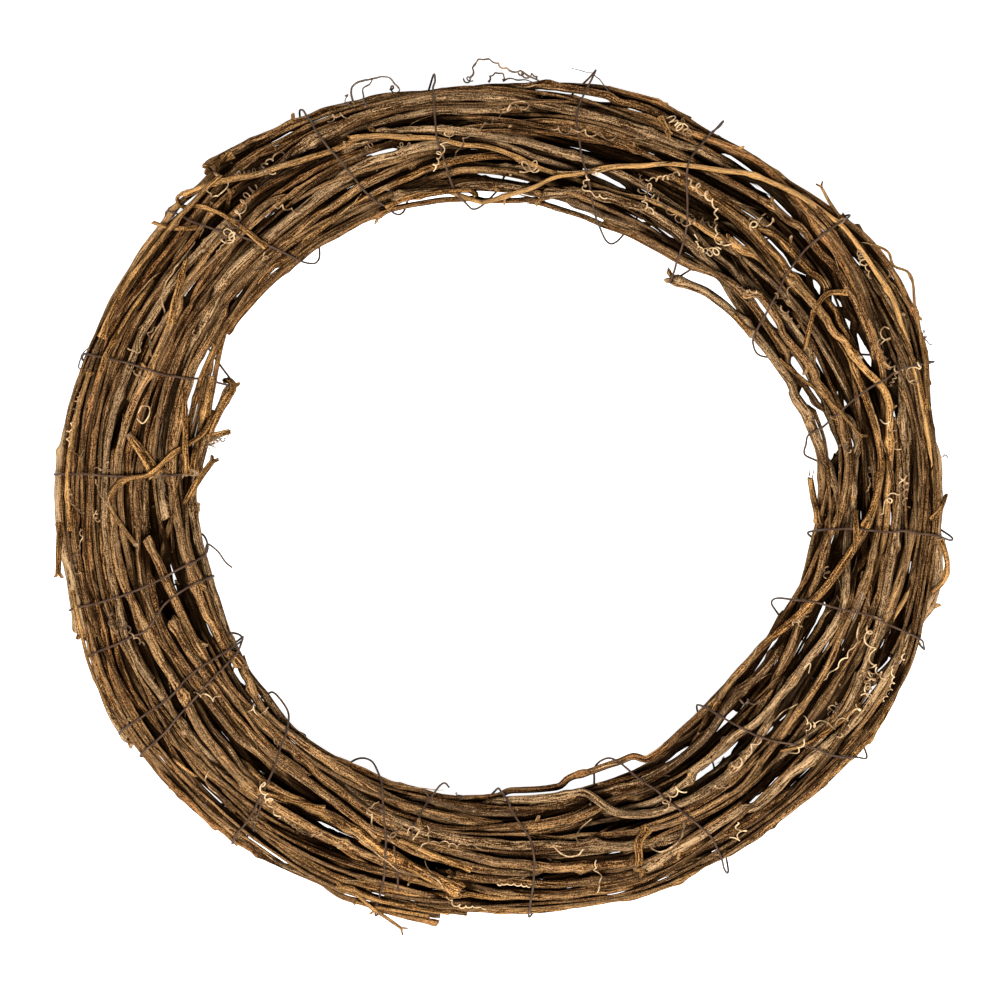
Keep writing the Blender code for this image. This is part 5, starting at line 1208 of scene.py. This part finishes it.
# Tendrils.
# Vines climb by tendrils, which have dried into fine wiry curls and coils. They are paler than the
# bark, smooth, and cling to the canes or stand off the edge.
TENDRILS = [  # half thickness, coil radius, mm along for one turn, and the route
    (0.40, 0.0, 0, [(109, 165), (109.3, 168), (109, 171), (108.8, 173), (107.8, 173.8), (107.2, 175.6)]),
    (0.42, 0.0, 0, [(110.6, 170), (110.5, 172.6), (110.2, 174.8), (109, 176.4), (107.5, 175.8),
        (106.2, 175.6), (105, 174.2), (104.6, 171.2), (104.2, 169)]),
    (0.34, 1.0, 2.6, [(111.4, 173), (111, 172.2), (111.4, 171)]),
    (0.36, 0.8, 2.6, [(105.4, 171), (105, 170.4), (104.4, 169.6)]),
    (0.36, 0.7, 2.6, [(112.4, 169.6), (111.6, 169.8), (110.8, 168.4)]),
    (0.36, 0.9, 2.6, [(95.4, 169.4), (94.8, 168.8), (94.2, 169.6)]),
    (0.42, 0.3, 5, [(94.4, 169), (94, 172), (93.8, 174.4), (92.6, 176.4), (91.4, 175.4), (90, 172.8),
        (88.4, 171.2), (87, 171), (86.2, 169), (85, 168)]),
    (0.36, 0.9, 2.8, [(88, 170.6), (87, 170), (86, 170.4), (85.2, 168.8)]),
    (0.36, 0.3, 3, [(92, 167.6), (91.6, 170), (90.6, 171.2), (89.8, 170), (90, 168)]),
    (0.34, 0.0, 0, [(90, 168), (89.4, 169), (88, 168.6), (86.8, 168.8), (86, 167.4)]),
    (0.22, 0.0, 0, [(75.4, 168), (76.2, 171), (78, 174.4), (81, 176)]),
    (0.30, 1.3, 2.4, [(134, 153), (132, 155.4), (130, 157.6), (128, 159)]),
    (0.30, 1.8, 3.4, [(136.6, 151), (136, 153), (135, 153.6), (134, 152)]),
    (0.26, 0.6, 4, [(141.5, 149.2), (139.6, 149.8), (137.6, 150.4), (136, 151)]),
    (0.28, 0.0, 0, [(162.8, 176), (162.6, 178), (161.4, 178.6), (160.4, 178.2), (159.8, 177)]),
    (0.18, 0.5, 3.1, [(173, 173.4), (171.6, 174.4), (169.6, 173.4)]),
    (0.20, 0.6, 2.4, [(168.8, 173.2), (167, 173.8), (165.6, 173)]),
    (0.28, 0.0, 0, [(167.4, 149), (168, 146.4), (166.8, 144.4), (165.2, 145.6), (165.4, 148),
        (166.6, 149)]),
    (0.34, 0.0, 0, [(157.8, 151), (155, 154), (153, 152.8), (151, 153.6), (150, 156), (148.6, 158),
        (145, 159), (140, 160)]),
    (0.26, 0.4, 3, [(156, 152), (155, 155.6), (153.4, 154), (152.4, 151)]),
    (0.28, 0.5, 4, [(128, 148), (126.5, 144), (125, 139)]),
    (0.26, 1.2, 2.8, [(102, 133), (100.6, 138), (99.6, 143), (98, 147)]),
    (0.30, 0.6, 5, [(98.5, 136), (97, 141), (95, 146), (93, 148.8), (91, 152), (89, 156)]),
    (0.28, 0.0, 0, [(89.4, 155), (88.8, 157.6), (87.4, 158.6), (86.2, 157.4), (86.8, 155.8),
        (87.6, 156.2)]),
    (0.30, 1.5, 7.0, [(82.6, 148.4), (80, 148.8), (77.6, 149.6), (75, 150.2), (72.6, 150.8)]),
    (0.28, 1.6, 3.6, [(87, 131), (85, 133.4), (84, 131)]),
    (0.26, 1.5, 3.2, [(66.4, 134.6), (65, 137), (64, 134)]),
    (0.28, 0.9, 2.9, [(61.5, 147.6), (62.6, 145), (64.2, 142.4), (66, 139.6)]),
    (0.34, 0.9, 4.5, [(60, 147), (57, 146), (54.6, 144.4), (53, 141), (52, 138), (51, 135), (49.5, 133.6),
        (48.7, 136.4)]),
    (0.30, 1.3, 3.4, [(48.8, 149.6), (47.6, 147), (47.4, 152)]),
    (0.28, 1.4, 4.4, [(47.6, 155), (46.6, 153), (45.6, 155.6)]),
    (0.30, 2.3, 7.6, [(24, 168), (23.5, 166), (22.4, 165.4), (21.4, 164)]),
    (0.30, 1.8, 5.2, [(18.4, 173.6), (17, 171), (15.8, 168)]),
    (0.28, 1.0, 2.5, [(20.6, 163.4), (19, 164), (17.2, 163), (16.4, 161)]),
    (0.30, 0.9, 4.4, [(35, 135), (33.4, 135.8), (31.6, 135.2), (30, 136)]),
    (0.30, 0.5, 4, [(36.8, 145), (36.4, 141), (35.4, 138), (37, 135)]),
    (0.28, 0.5, 4, [(42.6, 126), (41.4, 127), (40, 129), (39, 130.6)]),
    (0.28, 1.1, 2.6, [(9.6, 138.4), (8.8, 137), (7.8, 138.6)]),
    (0.28, 0.8, 2.4, [(4.4, 160), (2.6, 160.2), (1, 160), (-0.6, 159.6)]),
    (0.28, 0.4, 3, [(5.2, 147.6), (3.8, 146), (2.6, 146.4), (1.2, 145)]),
    (0.28, 0.6, 2.6, [(22, 183), (21, 182), (20.6, 183.6), (20, 182.8)]),
    (0.26, 0.5, 2.6, [(5.4, 178.6), (5.8, 177.2), (5.4, 176)]),
    (0.32, 1.3, 5.2, [(-19, 153.2), (-20.6, 154.6), (-22, 158), (-24, 160.2), (-26, 162.6), (-27.4, 163.6),
        (-29.5, 163), (-31, 162), (-33, 160.8), (-36, 151)]),
    (0.30, 0.5, 6, [(-19, 150), (-22, 151.4), (-26, 149), (-30, 146.8)]),
    (0.42, 0.0, 0, [(-60.5, 146), (-61.2, 148.6), (-62, 151), (-65, 153), (-66.4, 152.4), (-67, 150.5)]),
    (0.32, 0.0, 0, [(-77, 142), (-78.2, 144), (-79.5, 144), (-81, 141), (-82, 137)]),
    (0.30, 0.0, 0, [(-77.5, 140), (-77.8, 137), (-76.4, 134), (-74.5, 132)]),
    (0.28, 2.2, 6.6, [(-93, 142.6), (-94.6, 141.4), (-96, 142)]),
    (0.28, 0.4, 4, [(-104, 143), (-102.5, 138), (-103, 132.5)]),
    (0.28, 0.9, 2.8, [(-158, 154), (-160, 156.4), (-162, 159), (-163, 160.5)]),
    (0.26, 0.8, 2.6, [(-164, 161.6), (-162.8, 163.4), (-161, 162.4)]),
    (0.28, 0.5, 3.4, [(168.4, 119.6), (167.4, 117), (168, 114.6), (166.8, 113)]),
    (0.28, 1.0, 3.2, [(64.1, 135.1), (60.8, 132.8), (57.5, 131.4), (53.8, 137.3), (51.3, 138.9)]),
    (0.28, 1.2, 3.0, [(67.3, 141.1), (65.7, 137.2), (63.5, 134.6)]),
    (0.26, 0.9, 2.6, [(35.2, 172.8), (32.7, 172.2), (31.2, 171.8)]),
    (0.28, 0.0, 0, [(22.9, 164.2), (23.1, 162.4), (22.4, 160.6), (21.6, 161.4), (21.5, 163.2),
        (22.3, 164.4)]),
    (0.28, 0.6, 3.0, [(-20.9, 170.6), (-22.4, 169.9), (-23.1, 168.2), (-24.9, 170.6), (-28, 170.7)]),
    (0.34, 0.8, 4.0, [(-40.3, 124.4), (-39.9, 125.7), (-39, 128.1), (-37.7, 131.9)]),
    (0.30, 0.6, 3.0, [(-46.9, 141), (-46, 140.1), (-44.2, 138.9), (-43.2, 139.9)]),
    (0.30, 1.6, 4.0, [(-49.2, 138.8), (-48.2, 140.4)]),
    (0.30, 1.2, 3.0, [(-53.7, 140.9), (-51.4, 144.3)]),
    (0.26, 0.9, 2.6, [(-11.5, 131.6), (-13.3, 131.7)]),
    (0.28, 1.0, 3.0, [(-24.2, 162.8), (-25.1, 166.6)]),
    (0.28, 0.3, 4, [(-22.6, 124.5), (-22.9, 129.3)]),
    (0.26, 0.7, 2.4, [(-35.3, 162.4), (-34.9, 163.1), (-32.9, 164.2)]),
    (0.24, 1.3, 3.0, [(175.2, 160.8), (176, 161.6)]),
    (0.24, 1.2, 2.8, [(174.4, 158.4), (175.9, 157.2)]),
    (0.26, 0.5, 3.0, [(177.1, 162.3), (179.4, 159.5), (180.3, 157.5), (180.9, 154.8)]),
    (0.24, 0.7, 2.6, [(181.5, 161.5), (182.4, 162.2), (183.2, 160.3)]),
    (0.24, 0.7, 2.6, [(178.5, 172), (180.3, 171.3), (181.9, 166.9)]),
    (0.24, 0.6, 3.0, [(183.9, 168.4), (185.5, 168.2), (187, 170), (187.8, 171.6)]),
    (0.24, 1.2, 2.6, [(187.2, 172), (188.6, 172.4), (190.2, 171.4)]),
    (0.26, 0.8, 3.4, [(158, 160.6), (157.8, 155.9), (156.4, 156.8)]),
    (0.26, 1.2, 3.4, [(160.8, 155.6), (161, 151.2), (162.1, 151)]),
    (0.26, 1.2, 2.6, [(151.2, 140), (152.2, 137.8)]),
    (0.30, 0.5, 4.0, [(-112.4, 129.9), (-113.4, 134.2), (-112.1, 137.1), (-112.1, 139.5), (-110.5, 141.2)]),
    (0.30, 2.0, 3.4, [(-109.0, 135.2), (-107.6, 137)]),
    (0.30, 2.0, 3.4, [(-109.0, 140), (-107.4, 141.6)]),
    (0.28, 0.0, 0, [(-104.9, 139.3), (-104.3, 135), (-105.8, 134.4), (-106, 137.6)]),
    (0.26, 0.7, 2.8, [(-124.6, 152.5), (-122.7, 154.6), (-120.5, 154.3), (-118.6, 150.7)]),
    (0.26, 1.2, 2.6, [(-133.8, 131.8), (-132.4, 131.8)]),
    (0.28, 0.0, 0, [(-105.9, 120.6), (-104.8, 120.8), (-103.8, 122.6)]),
    (0.22, 0.9, 2.4, [(-99.3, 118.9), (-97.7, 119.6)]),
    (0.24, 0.6, 2.6, [(-90.9, 152.8), (-88.3, 152.9), (-86.1, 154)]),
    (0.22, 0.5, 2.6, [(-98.1, 160), (-96.4, 163), (-94, 163), (-92.1, 163.6)]),
    (0.28, 2.0, 2.2, [(137.2, 151.6), (135.6, 150.6), (136.4, 148.6), (137.2, 150.2)]),
    (0.26, 0.8, 2.6, [(133.8, 136.5), (135.2, 134), (137.3, 133.5)]),
    (0.24, 0.9, 2.4, [(113.5, 147.4), (112, 148.6), (110.2, 150.5)]),
    (0.24, 0.9, 2.2, [(106.6, 146.6), (104.6, 145)]),
    (0.24, 0.8, 2.6, [(129.5, 166.4), (128.3, 165.6), (126.4, 163)]),
    (0.24, 0.9, 2.4, [(134.8, 128.6), (136.4, 128.4)]),
]
LOOSE_CURLS = 36
CURL_BAND = (127, 170)  # mm from the axis
CURL_HALF = (0.22, 0.32)  # mm
CURL_COILS = (0.0, 0.5, 0.9, 1.4)
CURL_PITCH = (2.2, 5.0)
ON_TOP = 20  # mm above the table, the least that a loose curl lies on
TENDRIL_STEP = 0.5  # mm
COIL_STEP = 0.45  # radians, at most, from one point of a coil to the next


def laid_tendril(rng, skin, half, coil, pitch, route, tone):
    """A tendril over the heap along a route, straight or coiled, thinning to its tip."""
    points = heap.draw_over(evenly(route, TENDRIL_STEP), half + 0.7 * coil, 12)
    ahead, side, other = along_line(points)
    count = len(points)
    if coil:
        pace = np.clip(1 + 0.3 * wander(rng, count, 7)[:, 0], 0.5, 1.7)
        turn = 2 * np.pi * np.cumsum(pace) * TENDRIL_STEP / pitch + rng.uniform(0, 6)
        size = coil * np.clip(1 + 0.45 * wander(rng, count, 6)[:, 0], 0.3, 1.8)
        size = size * np.clip(np.arange(count) * TENDRIL_STEP / 1.5, 0.1, 1)
        # a closely wound coil needs its points closer together
        many = max(1, int(math.ceil(2 * np.pi * TENDRIL_STEP / pitch / COIL_STEP)))
        fine = np.linspace(0, count - 1, (count - 1) * many + 1)
        own = np.arange(count)
        points, ahead, side, other = (
            np.stack([np.interp(fine, own, axis) for axis in table.T], axis=1)
            for table in (points, ahead, side, other))
        turn, size = (np.interp(fine, own, row) for row in (turn, size))
        points = points + side * (size * np.cos(turn))[:, None]
        points += ahead * (0.9 * size * np.sin(turn))[:, None]
        points += other * (0.5 * size * np.sin(turn + 0.9))[:, None]
    else:
        points = points + side * 0.12 * wander(rng, count, 4) + other * 0.08 * wander(rng, count, 4)
    thin = np.linspace(1.1, 0.8, len(points)) * half * (1 + 0.12 * wander(rng, len(points), 5)[:, 0])
    plain_tube(skin, points, np.clip(thin, 0.1, 0.6), 6, tone)


# dried tendril: tan to straw, smooth and a little shiny, darker in patches
DRY_TENDRIL, start = new_material("dry_tendril", (0.42, 0.29, 0.15))
fine = start.specks(2200.0)
value = (start.specks(150.0) - 0.5) * 1.6 + (fine - 0.5) * 0.9 + start.held("tone") * 0.45 + 0.28
colour = value.ramp((0.20, (0.045, 0.022, 0.009)), (0.50, (0.22, 0.120, 0.047)), (0.85, (0.62, 0.43, 0.23)))
finish_material(start, colour, fine * 0.3 + 0.5, fine, 0.5, 0.0002, 0.4)


def least_height(route):
    """The lowest that the heap is under the points of a route."""
    return heap.height(*flat_spots(*np.array(route, dtype=float).T).T).min()


rng = np.random.default_rng(12)
skin = Skin()
for half, coil, pitch, route in TENDRILS:
    # painted shade: one that stands off the edge, seen against the white table, is painted darker
    tone = rng.uniform(-0.7, -0.3) if least_height(route) < 0 else rng.uniform(0, 0.9)
    laid_tendril(rng, skin, half, coil, pitch, route, float(tone))
for number in range(LOOSE_CURLS):
    at, across = rng.uniform(0, 360), rng.uniform(*CURL_BAND)
    route = [(at, across)]
    way = rng.uniform(0, 6.28)
    for _ in range(rng.integers(2, 5)):
        way += rng.uniform(-1.3, 1.3)
        at += 2.6 * math.cos(way) * rng.uniform(0.5, 1.4)
        across += 3.4 * math.sin(way) * rng.uniform(0.5, 1.4)
        route.append((at, across))
    if least_height(route) < ON_TOP:
        continue
    coil = rng.choice(CURL_COILS)
    half, pitch, tone = rng.uniform(*CURL_HALF), rng.uniform(*CURL_PITCH), float(rng.uniform(0, 1))
    laid_tendril(rng, skin, half, coil, pitch, route, tone)
piece = skin.piece("tendrils", [DRY_TENDRIL])
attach(piece, "root")

# Peeling bark.
# Old vine bark comes away in long thin strips. They lie along their cane, held at one end or both,
# lift off it and curl, and fray into single fibres where a cane is broken.
SHREDS = 330
STRIP = (6, 30)  # mm long
STRIP_HALF = (0.15, 0.50)  # mm wide, half of it
STRIP_THICK = 0.08
STRIP_LIFT = (0.1, 2.2)  # mm off the cane at the loose end
COVERED = 1.2  # mm of other canes over a cane, where no strip would show
FIBRE = (0.24, 0.10)  # mm, half the thickness of a fibre at its root and tip
# a broken end's fibres: how many, how long in mm, and from where to where, (angle, radius)
FRAYS = [
    (9, 7.0, (168.5, 119.5), (166.4, 113.0)),
    (6, 5.0, (169.6, 120.5), (169.0, 114.0)),
    (5, 3.0, (69.6, 152.6), (68.0, 152.8)),
    (5, 3.5, (142.6, 157.0), (141.4, 158.2)),
    (5, 2.6, (134.6, 140.0), (134.0, 138.6)),
    (6, 3.2, (174.4, 168.6), (173.0, 169.4)),
    (5, 2.6, (4.4, 124.0), (5.4, 124.2)),
    (5, 3.0, (26.6, 134.0), (25.6, 133.4)),
    (9, 4.0, (-97.6, 155.2), (-95.6, 156.6)),
    (5, 3.0, (-127.5, 160.5), (-128.6, 160.8)),
    (4, 2.6, (-173.2, 153.0), (-174.2, 153.4)),
]


def ribbon(skin, points, out, half, thick, tone):
    """A thin strip along a line, lying flat to the direction out and thinned at both ends."""
    ahead, _, _ = along_line(points)
    across = np.cross(ahead, out)
    across /= np.linalg.norm(across, axis=1)[:, None] + 1e-9
    up = np.cross(across, ahead)
    roll = 2 * np.pi * np.arange(6) / 6
    share = np.linspace(0, 1, len(points))
    wide = half * np.clip(4 * share + 0.3, 0, 1) * np.clip(5 * (1 - share) + 0.15, 0, 1)
    spots = points[:, None] + wide[:, None, None] * np.cos(roll)[None, :, None] * across[:, None]
    spots += (thick * np.sin(roll) - 0.35 * wide[:, None] * np.cos(roll) ** 2)[:, :, None] * up[:, None]
    skin.add_tube(spots, run_along(points), tone, 0.25)


def shred(rng, skin, points, half):
    """One strip of bark along a stretch of a cane, lifting off it toward its end."""
    count = len(points)
    share = np.linspace(0, 1, count)
    ahead, _, _ = along_line(points)
    up = np.array([0.0, 0.0, 1.0]) - ahead * ahead[:, 2:]
    up /= np.linalg.norm(up, axis=1)[:, None]
    side = np.cross(ahead, up)
    roll = rng.uniform(-1.0, 1.0) + share * rng.uniform(-0.9, 0.9)
    out = up * np.cos(roll)[:, None] + side * np.sin(roll)[:, None]
    lift = rng.uniform(*STRIP_LIFT) * share ** rng.uniform(2.5, 5)
    lift = lift + (rng.uniform() < 0.3) * rng.uniform(0.2, 1.2) * (1 - share) ** 4
    drift = rng.uniform(-2.6, 2.6) * share ** 3 + 0.25 * wander(rng, count, 5)[:, 0] * share
    line = points + out * (1.02 * half + 0.10 + lift)[:, None] + side * drift[:, None]
    curl = side * (share ** 2 * rng.uniform(-1.2, 1.2))[:, None]
    wide = rng.uniform(*STRIP_HALF)
    ribbon(skin, line, out + curl, wide, STRIP_THICK, float(rng.uniform(0.2, 1.0)))


rng = np.random.default_rng(404)
skin = Skin()
face_lines = [one for node in NODES if on_face(node) for one in lines[node]]
weights = np.array([len(points) for points, _ in face_lines], dtype=float)
laid = 0
while laid < SHREDS:
    points, half = face_lines[int(rng.choice(len(face_lines), p=weights / weights.sum()))]
    count = int(rng.uniform(*STRIP) / FACE_STEP)
    if count > len(points) - 8:
        continue
    first = int(rng.integers(3, len(points) - count - 3))
    points, half = points[first:first + count], half[first:first + count]
    covered = heap.height(points[:, 0], points[:, 1]) - points[:, 2] - half
    if np.median(covered) > COVERED:
        continue
    order = -1 if rng.uniform() < 0.5 else 1
    shred(rng, skin, points[::order], half[::order])
    laid += 1
for count, reach, root, tip in FRAYS:
    root, tip = flat_spots(*np.array([root, tip]).T)
    way = (tip - root) / np.linalg.norm(tip - root)
    share = np.linspace(0, 1, 9)[:, None]
    for _ in range(count):
        turn = rng.normal(0, 0.4)
        heading = np.array([way[0] * math.cos(turn) - way[1] * math.sin(turn),
                            way[0] * math.sin(turn) + way[1] * math.cos(turn)])
        foot = root + rng.normal(0, 0.7, 2)
        bow = np.array([-heading[1], heading[0]]) * rng.uniform(-1.3, 1.3)
        route = foot + heading * share * reach * rng.uniform(0.6, 1.2) + bow * share ** 2
        strand = heap.draw_over(route, 0.3, 20)
        strand[:, 2] += share[:, 0] * rng.uniform(0, 1.5)
        plain_tube(skin, strand, np.linspace(*FIBRE, 9), 5, float(rng.uniform(0.5, 1)))
piece = skin.piece("peeling_bark", [bark_material(
    "peeling_bark", (0.66, 0.42, 0.21), (0.42, 0.245, 0.105), (0.19, 0.098, 0.037), (0.03, 0.014, 0.005),
    (0.40, 0.27, 0.145))])
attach(piece, "root")

# The table, the light and the camera.
# The photograph looks straight down on the wreath, which lies on a white table under one large soft
# light, with a little light from all round.
TABLE = 3.0  # m, half of its side
table = bpy.data.meshes.new("floor")
table.from_pydata([(-TABLE, -TABLE, 0), (TABLE, -TABLE, 0), (TABLE, TABLE, 0), (-TABLE, TABLE, 0)], [],
                  [(0, 1, 2, 3)])
floor = placed("floor", table)
material, start = new_material("pale_table", (0.9, 0.9, 0.9))
surface = start.add("ShaderNodeBsdfPrincipled", {},
                    {"Base Color": (0.5, 0.5, 0.5, 1), "Roughness": 0.9,
                     "Emission Color": (1, 1, 1, 1), "Emission Strength": 1.0})
start.add("ShaderNodeOutputMaterial", {}, {"Surface": surface})
table.materials.append(material)

lamp = bpy.data.lights.new("soft_light", "AREA")
lamp.shape = "DISK"
lamp.size = 0.9
lamp.energy = 122
light = placed("soft_light", lamp)
light.location = (0.0, -0.55, 2.0)
light.rotation_euler = (math.radians(15.4), 0, 0)

world = bpy.data.worlds.new("studio")
world.use_nodes = True
background = world.node_tree.nodes["Background"]
background.inputs["Color"].default_value = (1, 1, 1, 1)
background.inputs["Strength"].default_value = 0.06
bpy.context.scene.world = world

lens = bpy.data.cameras.new("camera")
lens.lens = 144
lens.sensor_width = 36
camera = placed("camera", lens)
camera.location = (-0.17 * MM, -1.94 * MM, CAMERA_HEIGHT * MM)
bpy.context.scene.camera = camera
bpy.context.scene.view_settings.view_transform = "Standard"
